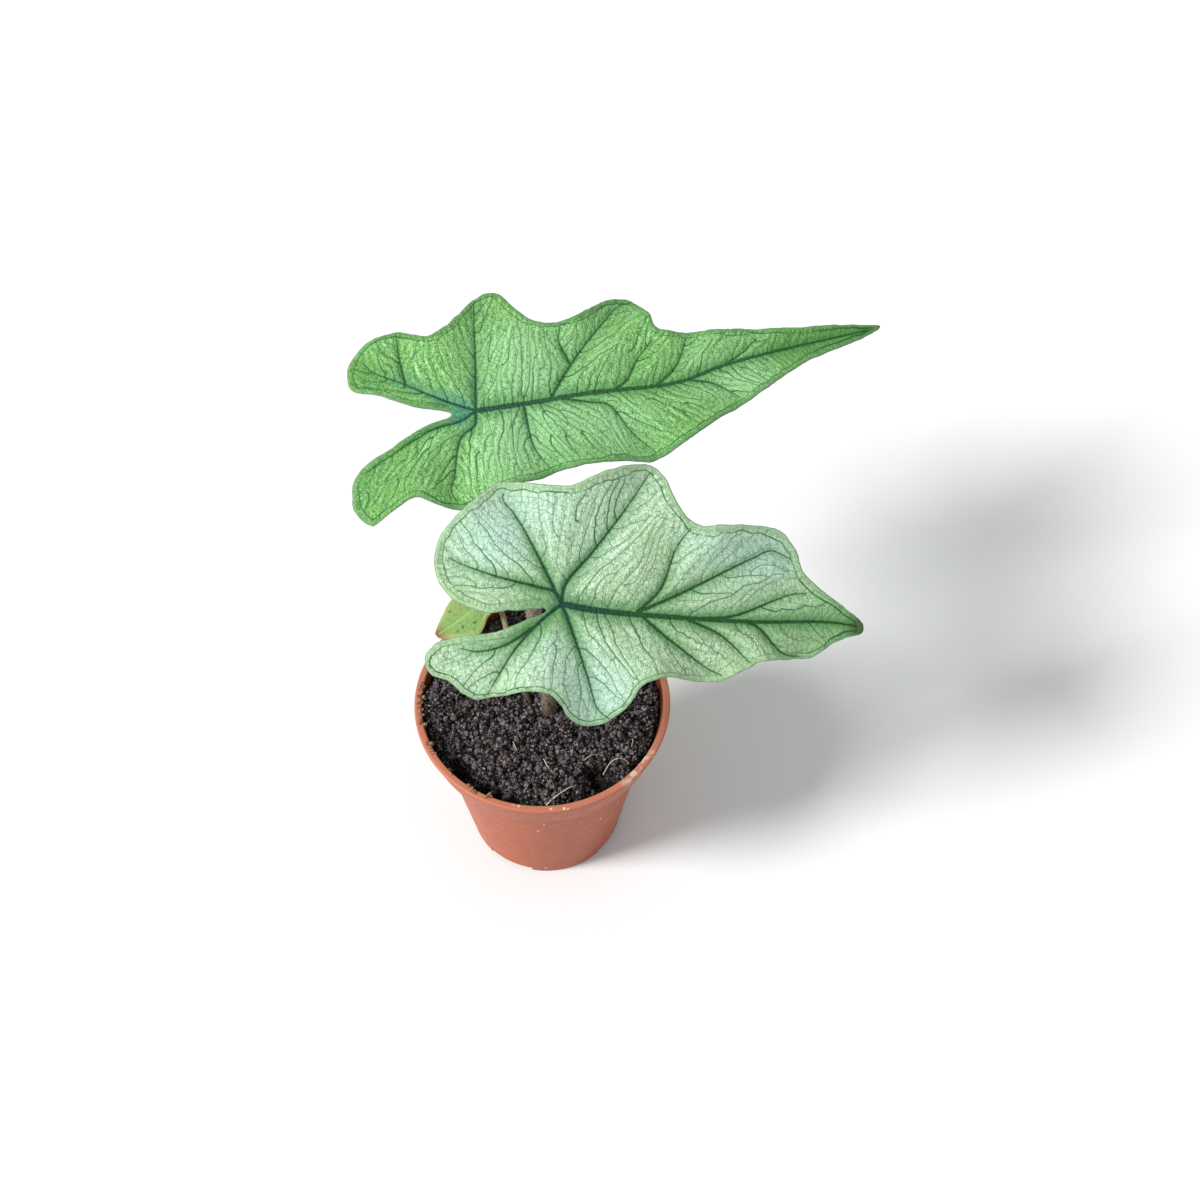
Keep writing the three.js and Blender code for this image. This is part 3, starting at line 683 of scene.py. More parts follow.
def trim_twigs(points, parents, first, shortest):
    """Drops side twigs of fewer than so many steps."""
    branches = np.bincount(parents[parents >= 0], minlength=len(points))
    keep = np.ones(len(points), bool)
    for tip in range(first, len(points)):
        if branches[tip] == 0:
            twig = [tip]
            while parents[twig[-1]] >= first and branches[parents[twig[-1]]] == 1:
                twig.append(parents[twig[-1]])
            keep[twig] = len(twig) >= shortest
    renumbered = np.cumsum(keep) - 1
    return points[keep], np.where(parents[keep] >= 0, renumbered[parents[keep]], -1)


def close_ends(points, parents, first, reach):
    """Short links from the veins' free ends to the next vein, which close the net's meshes."""
    tree = point_tree(points)
    feeding = set(parents[first:])
    links = []
    for i in range(first, len(points)):
        if i in feeding:
            continue
        own = set()
        back = i
        while back >= 0 and len(own) < 3 * reach / LINE_STEP:
            own.add(back)
            back = parents[back]
        others = [hit for hit in tree.find_range((*points[i], 0), reach) if hit[1] not in own]
        if others:
            other = min(others, key=lambda hit: hit[2])[1]
            count = max(1, round(np.linalg.norm(points[other] - points[i]) / LINE_STEP))
            share = np.arange(1, count)[:, None] / count
            links.append(points[i] + share * (points[other] - points[i]))
    return np.vstack(links) if links else np.zeros((0, 2))


def ripple(flat, wavelength, seed):
    """Smooth noise over a blade's drawing, from about -1 to 1."""
    return np.array([noise.noise(Vector((u, v, seed * wavelength)) / wavelength) for u, v in flat])


def drawn_out(flat, course, wavelength, seed):
    """Smooth noise that is drawn out along the veins' course, from about -1 to 1."""
    way = course(flat)
    shifts = (-0.75, -0.45, -0.15, 0.15, 0.45, 0.75)
    return sum(ripple(flat + wavelength * shift * 2 * way, wavelength, seed) for shift in shifts) / 3.5


def inward(outline):
    """The direction from each point of an outline to its inside."""
    along = unit(np.roll(outline, -1, axis=0) - np.roll(outline, 1, axis=0))
    return np.stack([-along[:, 1], along[:, 0]], 1)


def near_tip(outline, flat):
    """How near points are to a blade's tip: 1 there and nearly nothing some 20 mm behind it."""
    return np.exp(-((flat[:, 0] - outline[:, 0].max()) / TIP_REACH) ** 2)


def blade_outline(leaf):
    """The edge of a blade, with the small waves of a living leaf."""
    outline = smooth_path(leaf["outline"], EDGE_STEP, closed=True)
    wave = sum(height * ripple(outline, length, leaf["seed"]) for height, length in EDGE_WAVES)
    # Held in a little, so that no wave passes the part's own edge, but not at the right of the tip
    way_in = inward(outline)
    held = EDGE_HOLD * (1 - 0.85 * near_tip(outline, outline) * np.clip(2 * way_in[:, 1], 0, 1))
    return outline + (held + wave)[:, None] * way_in


def edge_line(outline, distance, lower_share, seed):
    """Points that run along the inside of the edge, at about a distance, less so at the lower edge."""
    lower = np.clip((-outline[:, 1] - 3) / 10, 0, 1)
    distances = distance * (1 + 0.5 * ripple(outline, 9, seed) + 0.3 * ripple(outline, 2.6, seed))
    distances = distances * (1 + (lower_share - 1) * lower) * (1 - 0.3 * near_tip(outline, outline))
    line = outline + distances[:, None] * inward(outline)
    clear = inside(outline, line)
    line, distances = line[clear], distances[clear]
    return line[nearest(line, outline)[1] > 0.88 * distances]


def main_veins(leaf):
    """Points along the main veins, each with its heading, the vein's half width and its number."""
    points, headings, widths, chains = [], [], [], []
    for number, chain in enumerate(leaf["veins"]):
        line = smooth_path(chain, LINE_STEP)
        start, end = leaf["midrib_width"] if number == 0 else leaf["vein_width"]
        points.append(line)
        headings.append(unit(np.gradient(line, axis=0)))
        widths.append(np.linspace(start, end, len(line)))
        chains.append(np.full(len(line), number))
    return np.vstack(points), np.vstack(headings), np.concatenate(widths), np.concatenate(chains)


def side_veins(leaf, outline, main, headings, course, rng):
    """The finer veins of a blade, level by level, as (points, strengths), and those along the edge."""
    rims, powers = [], []
    for distance, lower_share, power in leaf["edge_lines"]:
        line = edge_line(outline, distance, lower_share, leaf["seed"])
        rims.append(line)
        uneven = 0.85 + 0.4 * ripple(line, 6, leaf["seed"])
        bold = 1 + 0.8 * near_tip(outline, line)
        powers.append(power * uneven * bold * (1 - patches(leaf["rolled_edge"], line)))
    levels = [trace_veins(course, np.vstack([main, rims[0]]), outline, leaf["side_veins"], rng)]
    side = levels[0][0]
    # Each main vein counts as two, one at each of its sides, so that both sides branch
    across = np.stack([-headings[:, 1], headings[:, 0]], 1)
    base = np.vstack([main + 0.15 * across, main - 0.15 * across, side, rims[0]])
    leave = np.zeros_like(base)
    leave[:2 * len(main)] = unit(np.vstack([headings + across, headings - across]))
    for clearing, lean, power in leaf["net"]:
        seeds = field(outline.min(0), outline.max(0), 0.8 * clearing, 0.3, rng)
        seeds = apart(seeds[inside(outline, seeds)], outline, 0.45)
        seeds = apart(seeds, base, 1.05 * clearing)
        first = len(base)
        grown, parents = grow_veins(base, leave, course, seeds, clearing, 0.5, lean, rng)
        grown, parents = trim_twigs(grown, parents, first, 1 + round(0.4 * clearing / LINE_STEP))
        links = close_ends(grown, parents, first, 2.4 * clearing)
        fresh = np.vstack([grown[first:], links])
        levels.append((fresh, np.full(len(fresh), power)))
        base = np.vstack([grown, links])
        leave = np.zeros_like(base)
    return levels, (np.vstack(rims), np.concatenate(powers))


def flat_blade(outline, layers, step, rng):
    """The points and triangles of a blade's drawing, with points along the lines of each layer.

    The outline's points come first, in their order.
    """
    chosen = outline
    for line in layers:
        line = apart(thinned(line[inside(outline, line)], 0.12), chosen, 0.15)
        chosen = np.vstack([chosen, line])
    grid = field(outline.min(0), outline.max(0), step, 0.08, rng)
    grid = apart(grid[inside(outline, grid)], chosen, 0.72 * step)
    points = np.vstack([chosen, grid])
    count = len(outline)
    edges = [(i, (i + 1) % count) for i in range(count)]
    made = delaunay_2d_cdt([Vector(point) for point in points], edges, [], 0, 1e-6, True)
    # Points that coincide come back as one, so all are put in the order that they went in
    order = np.argsort([min(group, default=len(points)) for group in made[3]])
    points = np.array([tuple(point) for point in made[0]])[order]
    triangles = np.argsort(order)[np.array(made[2])]
    return points, triangles[inside(outline, points[triangles].mean(1))]


def make_blade(name, leaf):
    """A blade with its veins sunk into the upper face and raised under the lower one."""
    rng = np.random.default_rng(leaf["seed"])
    outline = blade_outline(leaf)
    main, headings, widths, chains = main_veins(leaf)
    course = vein_course(main, headings, chains, outline)
    levels, rims = side_veins(leaf, outline, main, headings, course, rng)
    side, strengths = (np.concatenate(parts) for parts in zip(*levels[:2], rims))
    net = levels[-1][0]

    def face(layers, step, lower):
        flat, triangles = flat_blade(outline, layers, step, rng)
        vein, vein_gap = nearest(flat, main)
        half_width = widths[vein]
        strong = np.clip(half_width / STRONG_HALF_WIDTH, 0.25, 1)
        edge_gap = nearest(flat, outline)[1]
        line, line_gap = nearest(flat, side)
        strength = strengths[line]
        side_near = line_gap / (0.06 + 0.14 * strength)
        net_near = nearest(flat, net)[1] / 0.1
        reach = np.linalg.norm(flat, axis=1)
        inner = np.clip(edge_gap / 2, 0, 1)
        side_line = strength * np.clip(1 - side_near / 1.5, 0, 1) * inner

        height = blade_height(leaf, flat, vein_gap)
        height += UNEVENNESS * ripple(flat, UNEVENNESS_LENGTH, leaf["seed"]) * inner
        at_vein = strong * np.exp(-(vein_gap / (half_width + GROOVE_SHOULDER)) ** 2) * inner
        height -= GROOVE_DEPTH * at_vein
        height -= SIDE_GROOVE_DEPTH * side_line
        height -= NET_GROOVE_DEPTH * np.clip(1 - net_near / 2.5, 0, 1) * inner
        height -= EDGE_DROOP * np.clip(1 - edge_gap / EDGE_DROOP_WIDTH, 0, 1) ** 2
        if lower:
            height -= EDGE_THICKNESS + (BLADE_THICKNESS - EDGE_THICKNESS) * inner
            height -= leaf["rib"] * np.exp(-reach / RIB_TAPER) * at_vein
            height -= SIDE_RIB_HEIGHT * strength * np.exp(-(line_gap / SIDE_RIB_WIDTH) ** 2) * inner
        attributes = {
            "vein_near": vein_gap - half_width,
            "side_near": side_near,
            "side_power": strength,
            "net_near": net_near,
            "halo": strong * np.exp(-((vein_gap - half_width) / (0.8 + 2.2 * half_width)) ** 2),
            "edge_gap": edge_gap,
            "reach": reach,
            # Pale patches are partly painted light, and dull green ones partly painted shade
            "pale_and_painted_light": np.clip(patches(leaf["pale_and_painted_light"], flat), 0, 1),
            "dull_and_painted_shade": np.clip(patches(leaf["dull_and_painted_shade"], flat), 0, 1),
            "brown": np.clip(patches(leaf["brown"], flat), 0, 1),
            "bloom": np.clip(patches(leaf["bloom"], flat), 0, 1),
            "under": np.full(len(flat), float(lower)),
            "fleck": 0.5 + 0.5 * drawn_out(flat, course, 0.62, leaf["seed"] + 3),
            "flat": np.column_stack([flat, np.zeros(len(flat))]),
        }
        return on_blade(leaf, flat, height), triangles, attributes

    upper, upper_triangles, upper_values = face([main, side, net], FINE_STEP, False)
    lower, lower_triangles, lower_values = face([main, side], COARSE_STEP, True)
    shift = len(upper)
    faces = upper_triangles.tolist() + (lower_triangles[:, ::-1] + shift).tolist()
    for i in range(len(outline)):
        k = (i + 1) % len(outline)
        faces.append((i, i + shift, k + shift, k))
    attributes = {key: np.concatenate([upper_values[key], lower_values[key]]) for key in upper_values}
    return mesh_object(name, np.vstack([upper, lower]), faces, attributes, 75)


def leaf_material(name, look):
    """A thin living leaf: its cuticle gives a soft, broken sheen, and its veins show as darker lines."""
    material, tree = new_material(name)
    flat = add(tree, "ShaderNodeAttribute", out="Vector", attribute_name="flat")
    names = (
        "vein_near", "side_near", "side_power", "net_near", "halo", "edge_gap", "reach",
        "pale_and_painted_light", "dull_and_painted_shade", "brown", "bloom", "under", "fleck",
    )
    at = {key: add(tree, "ShaderNodeAttribute", out="Fac", attribute_name=key) for key in names}

    # Cells between the finest veins are some 0.5 mm across
    sway = add(tree, "ShaderNodeTexNoise", {"Vector": flat, "Scale": 0.9, "Detail": 2}, "Color")
    bent = add(tree, "ShaderNodeVectorMath", {0: sway, 1: (0.9, 0.9, 0.9)}, operation="MULTIPLY")
    bent = add(tree, "ShaderNodeVectorMath", {0: bent, 1: flat}, operation="ADD")
    cells = add(
        tree, "ShaderNodeTexVoronoi", {"Vector": bent, "Scale": 1.9}, "Distance",
        feature="DISTANCE_TO_EDGE", voronoi_dimensions="2D",
    )
    cells = add(tree, "ShaderNodeMapRange", {"Value": cells, "From Max": 0.3})
    # Areoles, the net's larger meshes, are 1.4 to 1.8 mm across
    areoles = add(
        tree, "ShaderNodeTexVoronoi", {"Vector": bent, "Scale": look["areoles_per_mm"]}, "Distance",
        feature="DISTANCE_TO_EDGE", voronoi_dimensions="2D",
    )
    grain = add(tree, "ShaderNodeTexNoise", {"Vector": flat, "Scale": 2.4, "Detail": 3, "Roughness": 0.7})
    broad = add(tree, "ShaderNodeTexNoise", {"Vector": flat, "Scale": 0.11, "Detail": 3})
    tone = add(tree, "ShaderNodeMath", {0: cells, 1: 0.25, 2: grain}, operation="MULTIPLY_ADD")
    tone = add(tree, "ShaderNodeMath", {0: at["fleck"], 1: 0.9, 2: tone}, operation="MULTIPLY_ADD")
    tone = add(tree, "ShaderNodeMapRange", {"Value": tone, "From Min": 0.88, "From Max": 1.3})
    # Specks are 5 mm apart and 0.3 mm wide, and on the old leaf 3 mm apart and 1 mm wide
    specks = add(tree, "ShaderNodeTexVoronoi", {"Vector": flat, "Scale": look["specks_per_mm"]}, "Distance")
    # Main veins have frayed edges
    frayed = add(tree, "ShaderNodeMath", {0: grain, 1: 0.5, 2: at["vein_near"]}, operation="MULTIPLY_ADD")

    side_line = add(tree, "ShaderNodeMapRange", {
        "Value": at["side_near"], "From Min": 1.5, "From Max": 0.3,
    })
    side_line = add(tree, "ShaderNodeMath", {0: side_line, 1: at["side_power"]}, operation="MULTIPLY")
    net_line = add(tree, "ShaderNodeMapRange", {"Value": at["net_near"], "From Min": 1.4, "From Max": 0.3})
    # The rim is a darker band, which fades under the dull green patches, themselves partly painted shade
    rim = add(tree, "ShaderNodeMapRange", {
        "Value": at["edge_gap"], "From Min": look["rim_width"], "From Max": 0.6 * look["rim_width"],
        "To Max": look["rim_amount"],
    })
    lively = add(tree, "ShaderNodeMapRange", {
        "Value": at["dull_and_painted_shade"], "From Min": 0.1, "From Max": 0.7, "To Min": 1.0, "To Max": 0.1,
    })
    rim = add(tree, "ShaderNodeMath", {0: rim, 1: lively}, operation="MULTIPLY")
    body = paint_over(
        tree, look["deep"],
        (tone, 0, 1, 1, look["bright"]),
        (broad, 0.35, 0.65, look["broad"], look["second"]),
        # Pale patches, partly painted light, and dull green ones, partly painted shade
        (at["pale_and_painted_light"], 0, 1, look["pale_and_painted_light_amount"], look["pale_and_painted_light"]),
        (at["dull_and_painted_shade"], 0, 1, look["dull_and_painted_shade_amount"], look["dull_and_painted_shade"]),
        (at["halo"], 0, 1, look["halo_amount"], look["halo"]),
        (at["bloom"], 0, 1, 0.75, look["bloom"]),
        (net_line, 0, 1, look["net_amount"], look["net"]),
        (areoles, 0.08, 0.02, look["areole_amount"], look["side"]),
        (rim, 0, 1, 1, look["rim"]),
        (side_line, 0, 0.9, look["side_amount"], look["side"]),
        (at["brown"], 0.1, 1, 0.9, look["brown"]),
        (at["edge_gap"], 0.3, 0, 0.8, look["hem"]),
        (specks, look["speck_size"], 0.5 * look["speck_size"], 0.8, look["speck"]),
    )
    # A main vein is bluish at its root, and its middle has a painted highlight here and there
    painted_vein_highlight = add(tree, "ShaderNodeMapRange", {"Value": at["vein_near"], "From Min": -0.05, "From Max": -0.3})
    broken = add(tree, "ShaderNodeMapRange", {"Value": grain, "From Min": 0.45, "From Max": 0.62})
    painted_vein_highlight = add(tree, "ShaderNodeMath", {0: painted_vein_highlight, 1: broken}, operation="MULTIPLY")
    vein = paint_over(
        tree, look["teal"],
        (at["reach"], 0.3 * look["teal_reach"], look["teal_reach"], 1, look["vein"]),
        (painted_vein_highlight, 0, 1, look["painted_vein_highlight_amount"], look["painted_vein_highlight"]),
    )
    body = paint_over(tree, body, (frayed, 0.42, 0.1, look["vein_amount"], vein))
    under = paint_over(
        tree, look["under"],
        (side_line, 0, 1, 1, look["under_vein"]),
        (frayed, 0.42, 0.1, look["vein_amount"], look["under_vein"]),
    )
    colour = paint_over(tree, body, (at["under"], 0, 1, 1, under))

    relief = add(tree, "ShaderNodeMath", {0: tone, 1: net_line}, operation="SUBTRACT")
    bump = add(tree, "ShaderNodeBump", {"Height": relief, "Strength": 0.9, "Distance": 0.09 * MM}, "Normal")
    sheen = add(tree, "ShaderNodeMapRange", {
        "Value": grain, "From Min": 0.35, "From Max": 0.65, "To Min": 0.62, "To Max": 0.38,
    })
    finish_material(tree, {
        "Base Color": colour,
        "Roughness": sheen,
        "Normal": bump,
        "IOR": 1.42,
        "Specular IOR Level": 0.22,
    })
    return material


GREEN_LOOK = {
    "deep": "#468a39",
    "bright": "#b4e89f",
    "second": "#7eb456",
    "broad": 0.5,
    "pale_and_painted_light": "#b2e5b2",
    "pale_and_painted_light_amount": 0.5,
    "dull_and_painted_shade": "#457a34",
    "dull_and_painted_shade_amount": 0.6,
    "halo": "#40823f",
    "halo_amount": 0.6,
    "net": "#377631",
    "net_amount": 0.5,
    "areoles_per_mm": 0.7,
    "areole_amount": 0.3,
    "side": "#22602e",
    "side_amount": 0.95,
    "rim": "#447f3f",
    "rim_width": 1.3,
    "rim_amount": 0.55,
    "hem": "#7d7079",
    "bloom": "#4f9084",
    "teal": "#0b382c",
    "teal_reach": 24,
    "vein": "#13431a",
    "vein_amount": 0.9,
    "painted_vein_highlight": "#6fa08c",
    "painted_vein_highlight_amount": 0.2,
    "brown": "#5c6b33",
    "speck": "#2c3a22",
    "specks_per_mm": 0.2,
    "speck_size": 0.035,
    "under": "#8fbf86",
    "under_vein": "#6fa36c",
}

SILVER_LOOK = {
    "deep": "#86ac7f",
    "bright": "#dceed2",
    "second": "#a0c08e",
    "broad": 0.6,
    "pale_and_painted_light": "#b4d6cb",
    "pale_and_painted_light_amount": 0.75,
    "dull_and_painted_shade": "#62904f",
    "dull_and_painted_shade_amount": 0.65,
    "halo": "#437f41",
    "halo_amount": 0.75,
    "net": "#5d8c64",
    "net_amount": 0.35,
    "areoles_per_mm": 0.55,
    "areole_amount": 0.4,
    "side": "#2f6139",
    "side_amount": 1.0,
    "rim": "#8fb27c",
    "rim_width": 1.9,
    "rim_amount": 0.45,
    "hem": "#5f7c68",
    "bloom": "#3f7a72",
    "teal": "#0b3227",
    "teal_reach": 17,
    "vein": "#123f14",
    "vein_amount": 0.95,
    "painted_vein_highlight": "#3d7a55",
    "painted_vein_highlight_amount": 0.25,
    "brown": "#3c5220",
    "speck": "#3c4f34",
    "specks_per_mm": 0.2,
    "speck_size": 0.035,
    "under": "#a9cba6",
    "under_vein": "#8ab487",
}

YELLOWING_LOOK = {
    **GREEN_LOOK,
    "deep": "#5c8040",
    "bright": "#7f9d5c",
    "second": "#879c54",
    "broad": 0.6,
    "pale_and_painted_light": "#8eab70",
    "dull_and_painted_shade": "#9a9858",
    "halo": "#80a35f",
    "net": "#638848",
    "side": "#5a7e44",
    "side_amount": 0.6,
    "rim": "#9dab6b",
    "hem": "#b39c66",
    "teal": "#8fae6a",
    "vein": "#98b472",
    "painted_vein_highlight": "#a3bf7c",
    "brown": "#6f4c2c",
    "speck": "#3c4a22",
    "specks_per_mm": 0.32,
    "speck_size": 0.17,
    "under": "#a7bf82",
    "under_vein": "#9ab276",
}


def make_blades():
    """The three blades, each with its own finish."""
    looks = {
        "blade_upper": (UPPER_LEAF, GREEN_LOOK, "living_leaf_green", "leaf_green"),
        "blade_lower": (LOWER_LEAF, SILVER_LOOK, "living_leaf_silver", "leaf_silver"),
        "blade_old": (OLD_LEAF, YELLOWING_LOOK, "ageing_leaf_yellow", "leaf_yellowing"),
    }
    for node, (leaf, look, finish, slot) in looks.items():
        blade = make_blade(f"{node}_fine", leaf)
        keep_piece(blade, leaf_material(finish, look), slot, node)


# Leafstalks

def tube(path, radii, sides, cap_rounding=0.5):
    """A closed round bar along a path: its points, faces, and each point's place along and round it."""
    along = unit(np.gradient(path, axis=0))
    across = unit(np.cross(along[0], [0.3, 1, 0.2]))
    angles = np.linspace(0, 2 * math.pi, sides, endpoint=False)
    rings = []
    for point, way, radius in zip(path, along, radii):
        across = unit(across - way * (across @ way))
        other = np.cross(way, across)
        ring = np.outer(np.cos(angles), across) + np.outer(np.sin(angles), other)
        rings.append(point + radius * ring)
    count = len(path)
    below = path[:1] - cap_rounding * radii[0] * along[0]
    above = path[-1:] + cap_rounding * radii[-1] * along[-1]
    points = np.vstack([*rings, below, above])
    faces = []
    for i in range(count - 1):
        for j in range(sides):
            k = (j + 1) % sides
            faces.append((i * sides + j, i * sides + k, (i + 1) * sides + k, (i + 1) * sides + j))
    foot, top = count * sides, count * sides + 1
    for j in range(sides):
        k = (j + 1) % sides
        faces.append((foot, k, j))
        faces.append((top, (count - 1) * sides + j, (count - 1) * sides + k))
    length = np.concatenate([[0], np.cumsum(np.linalg.norm(np.diff(path, axis=0), axis=1))])
    run = np.concatenate([np.repeat(length, sides), [0, length[-1]]])
    turn = np.concatenate([np.tile(angles, count), [0, 0]])
    return points, faces, run, turn


def make_stalk(name, stalk):
    """A stalk from the crown to its blade, a little thicker where it meets the rib."""
    leaf = stalk["leaf"]
    neck, end = on_blade(leaf, np.array([(-0.5, 0), (0, 0)]), np.array([-4.5, -stalk["depth"]]))
    path = smooth_path([*stalk["route"], neck, end], 0.5)
    foot, top = stalk["radii"]
    share = np.linspace(0, 1, len(path))
    radii = foot + (top - foot) * share
    radii *= 1 + 0.12 * np.exp(-((1 - share) / 0.05) ** 2)
    points, faces, run, turn = tube(path, radii, 28)
    round_place = np.column_stack([np.cos(turn) * foot, np.sin(turn) * foot, run])
    return mesh_object(name, points, faces, {"along": round_place, "height": run})


def stalk_material():
    """A fleshy leafstalk: smooth waxy skin, greyish brown, with darker streaks and mottling along it."""
    material, tree = new_material("waxy_mottled_stalk")
    along = add(tree, "ShaderNodeAttribute", out="Vector", attribute_name="along")
    stretch = add(tree, "ShaderNodeMapping", {"Vector": along, "Scale": (1.0, 1.0, 0.35)})
    # Streaks are some 0.8 mm wide and three times as long
    streaks = add(tree, "ShaderNodeTexNoise", {
        "Vector": stretch, "Scale": 1.3, "Detail": 4, "Roughness": 0.65,
    })
    spots = add(tree, "ShaderNodeTexNoise", {"Vector": stretch, "Scale": 2.6, "Detail": 2})
    height = add(tree, "ShaderNodeAttribute", out="Fac", attribute_name="height")
    colour = paint_over(
        tree, "#857867",
        (streaks, 0.42, 0.6, 1, "#63564a"),
        (spots, 0.56, 0.66, 1, "#40342d"),
        (height, 14, 7, 0.75, "#2f2822"),
    )
    bump = add(tree, "ShaderNodeBump", {"Height": streaks, "Strength": 0.4, "Distance": 0.1 * MM}, "Normal")
    wax = add(tree, "ShaderNodeMapRange", {
        "Value": spots, "From Min": 0.3, "From Max": 0.7, "To Min": 0.38, "To Max": 0.6,
    })
    finish_material(tree, {
        "Base Color": colour,
        "Roughness": wax,
        "Normal": bump,
        "IOR": 1.42,
    })
    return material


def old_stalk_material():
    """A drying leafstalk: papery, pale brown and lengthwise ridged."""
    material, tree = new_material("papery_dry_stalk")
    along = add(tree, "ShaderNodeAttribute", out="Vector", attribute_name="along")
    stretch = add(tree, "ShaderNodeMapping", {"Vector": along, "Scale": (2.5, 2.5, 0.25)})
    ridges = add(tree, "ShaderNodeTexNoise", {"Vector": stretch, "Scale": 1.6, "Detail": 3})
    height = add(tree, "ShaderNodeAttribute", out="Fac", attribute_name="height")
    colour = paint_over(
        tree, "#a8977a",
        (ridges, 0.4, 0.62, 1, "#77634c"),
        (height, 14, 10, 0.85, "#2f231b"),
    )
    bump = add(tree, "ShaderNodeBump", {"Height": ridges, "Strength": 0.6, "Distance": 0.12 * MM}, "Normal")
    finish_material(tree, {"Base Color": colour, "Roughness": 0.7, "Normal": bump, "IOR": 1.45})
    return material


def make_hairs(name, stalk, tree, material):
    """Short standing hairs all over a leafstalk."""
    hairs = stalk.copy()
    hairs.data = stalk.data.copy()
    hairs.name = f"stalk_{name}_hairs"
    bpy.context.scene.collection.objects.link(hairs)
    scatter(hairs, tree, {
        "Piece": hair_object(),
        "Number per square metre": 2.6e6,
        "Smallest": 0.3,
        "Largest": 0.8,
        "Seed": 6,
        "Finish": material,
    })
    keep_piece(hairs, material, "stalk_skin")


def make_stalks():
    """The three stalks, and the hairs of the two that are alive."""
    skins = {"stalk_skin": stalk_material(), "old_stalk_skin": old_stalk_material()}
    hair, tree = new_material("fine_plant_hair")
    finish_material(tree, {"Base Color": "#c9c4ae", "Roughness": 0.5, "IOR": 1.5})
    hair_tree = scatter_tree(upright=True)
    for name, stalk in STALKS.items():
        piece = make_stalk(f"stalk_{name}_fine", stalk)
        if name != "old":
            make_hairs(name, piece, hair_tree, hair)
        keep_piece(piece, skins[stalk["slot"]], stalk["slot"], f"stalk_{name}")


# Pot

def rounded(corners, steps=5):
    """A section's points, with each corner (radius, height, rounding) cut by a short curve."""
    path = []
    for i, (radius, height, rounding) in enumerate(corners):
        here = np.array([radius, height])
        if rounding == 0:
            path.append(here)
            continue
        before = np.array(corners[i - 1][:2]) - here
        after = np.array(corners[i + 1][:2]) - here
        start = here + rounding * unit(before)
        end = here + rounding * unit(after)
        for t in np.linspace(0, 1, steps):
            path.append((1 - t) ** 2 * start + 2 * t * (1 - t) * here + t ** 2 * end)
    return np.array(path)


def turned(name, section, sides):
    """A closed solid of revolution from a section that starts and ends on the axis."""
    angles = np.linspace(0, 2 * math.pi, sides, endpoint=False)
    rings = [
        np.column_stack([r * np.cos(angles), r * np.sin(angles), np.full(sides, z)])
        for r, z in section[1:-1]
    ]
    points = np.vstack([*rings, [[0, 0, section[0][1]], [0, 0, section[-1][1]]]])
    count = len(rings)
    faces = []
    for j in range(sides):
        k = (j + 1) % sides
        for i in range(0, (count - 1) * sides, sides):
            faces.append((i + j, i + k, i + sides + k, i + sides + j))
        faces.append((count * sides, k, j))
        faces.append((count * sides + 1, (count - 1) * sides + j, (count - 1) * sides + k))
    return mesh_object(name, points, faces, smooth_angle=POT_SHARP_ANGLE)


def ring_block(radii, centre_angle, width_angle, bottom, top, steps=14):
    """A block between two radii, centred on an angle in degrees."""
    half = width_angle / 2
    angles = np.radians(np.linspace(centre_angle - half, centre_angle + half, steps))
    inner, outer = radii
    points = []
    for z in (bottom, top):
        for radius in (inner, outer):
            points += [(radius * math.cos(a), radius * math.sin(a), z) for a in angles]
    low_in, low_out, high_in, high_out = (np.arange(steps) + k * steps for k in range(4))
    faces = []
    for i in range(steps - 1):
        faces.append((low_in[i], low_in[i + 1], low_out[i + 1], low_out[i]))
        faces.append((high_in[i], high_out[i], high_out[i + 1], high_in[i + 1]))
        faces.append((low_out[i], low_out[i + 1], high_out[i + 1], high_out[i]))
        faces.append((low_in[i], high_in[i], high_in[i + 1], low_in[i + 1]))
    faces.append((low_in[0], low_out[0], high_out[0], high_in[0]))
    faces.append((low_in[-1], high_in[-1], high_out[-1], low_out[-1]))
    return mesh_object("block", points, [tuple(map(int, face)) for face in faces])


def settle(piece):
    """Makes a piece's modifiers part of its plain mesh, with one material slot."""
    graph = bpy.context.evaluated_depsgraph_get()
    finished = bpy.data.meshes.new_from_object(piece.evaluated_get(graph))
    piece.modifiers.clear()
    piece.data = finished
    finished.polygons.foreach_set("material_index", [0] * len(finished.polygons))


def combine(piece, tool, operation):
    """Joins or cuts a piece with a tool, which is then removed."""
    modifier = piece.modifiers.new(operation, "BOOLEAN")
    modifier.operation = operation
    modifier.solver = "EXACT"
    modifier.object = tool
    settle(piece)
    bpy.data.objects.remove(tool)


def make_pot():
    """The pot, turned from its section, with raised drain slots in its foot and a hole in each."""
    pot = turned("pot_fine", rounded(POT_SECTION), POT_SIDES)
    for i in range(SLOT_COUNT):
        angle = SLOT_FIRST_ANGLE + 360 / SLOT_COUNT * i
        pad = ring_block(
            (SLOT_INNER_RADIUS - 1, BASE_RADIUS - 0.4), angle, SLOT_WIDTH_ANGLE + 6,
            0.5, SLOT_HEIGHT + SLOT_ROOF,
        )
        combine(pot, pad, "UNION")
    for i in range(SLOT_COUNT):
        angle = SLOT_FIRST_ANGLE + 360 / SLOT_COUNT * i
        slot = ring_block((SLOT_INNER_RADIUS, BASE_RADIUS + 3), angle, SLOT_WIDTH_ANGLE, -1, SLOT_HEIGHT)
        combine(pot, slot, "DIFFERENCE")
        drain = ring_block(DRAIN_RADII, angle, DRAIN_WIDTH_ANGLE, 1, SLOT_HEIGHT + SLOT_ROOF + 1)
        combine(pot, drain, "DIFFERENCE")
    pot.data.shade_smooth()
    pot.data.set_sharp_from_angle(angle=math.radians(POT_SHARP_ANGLE))
    keep_piece(pot, pot_material(), "pot_plastic", "pot")


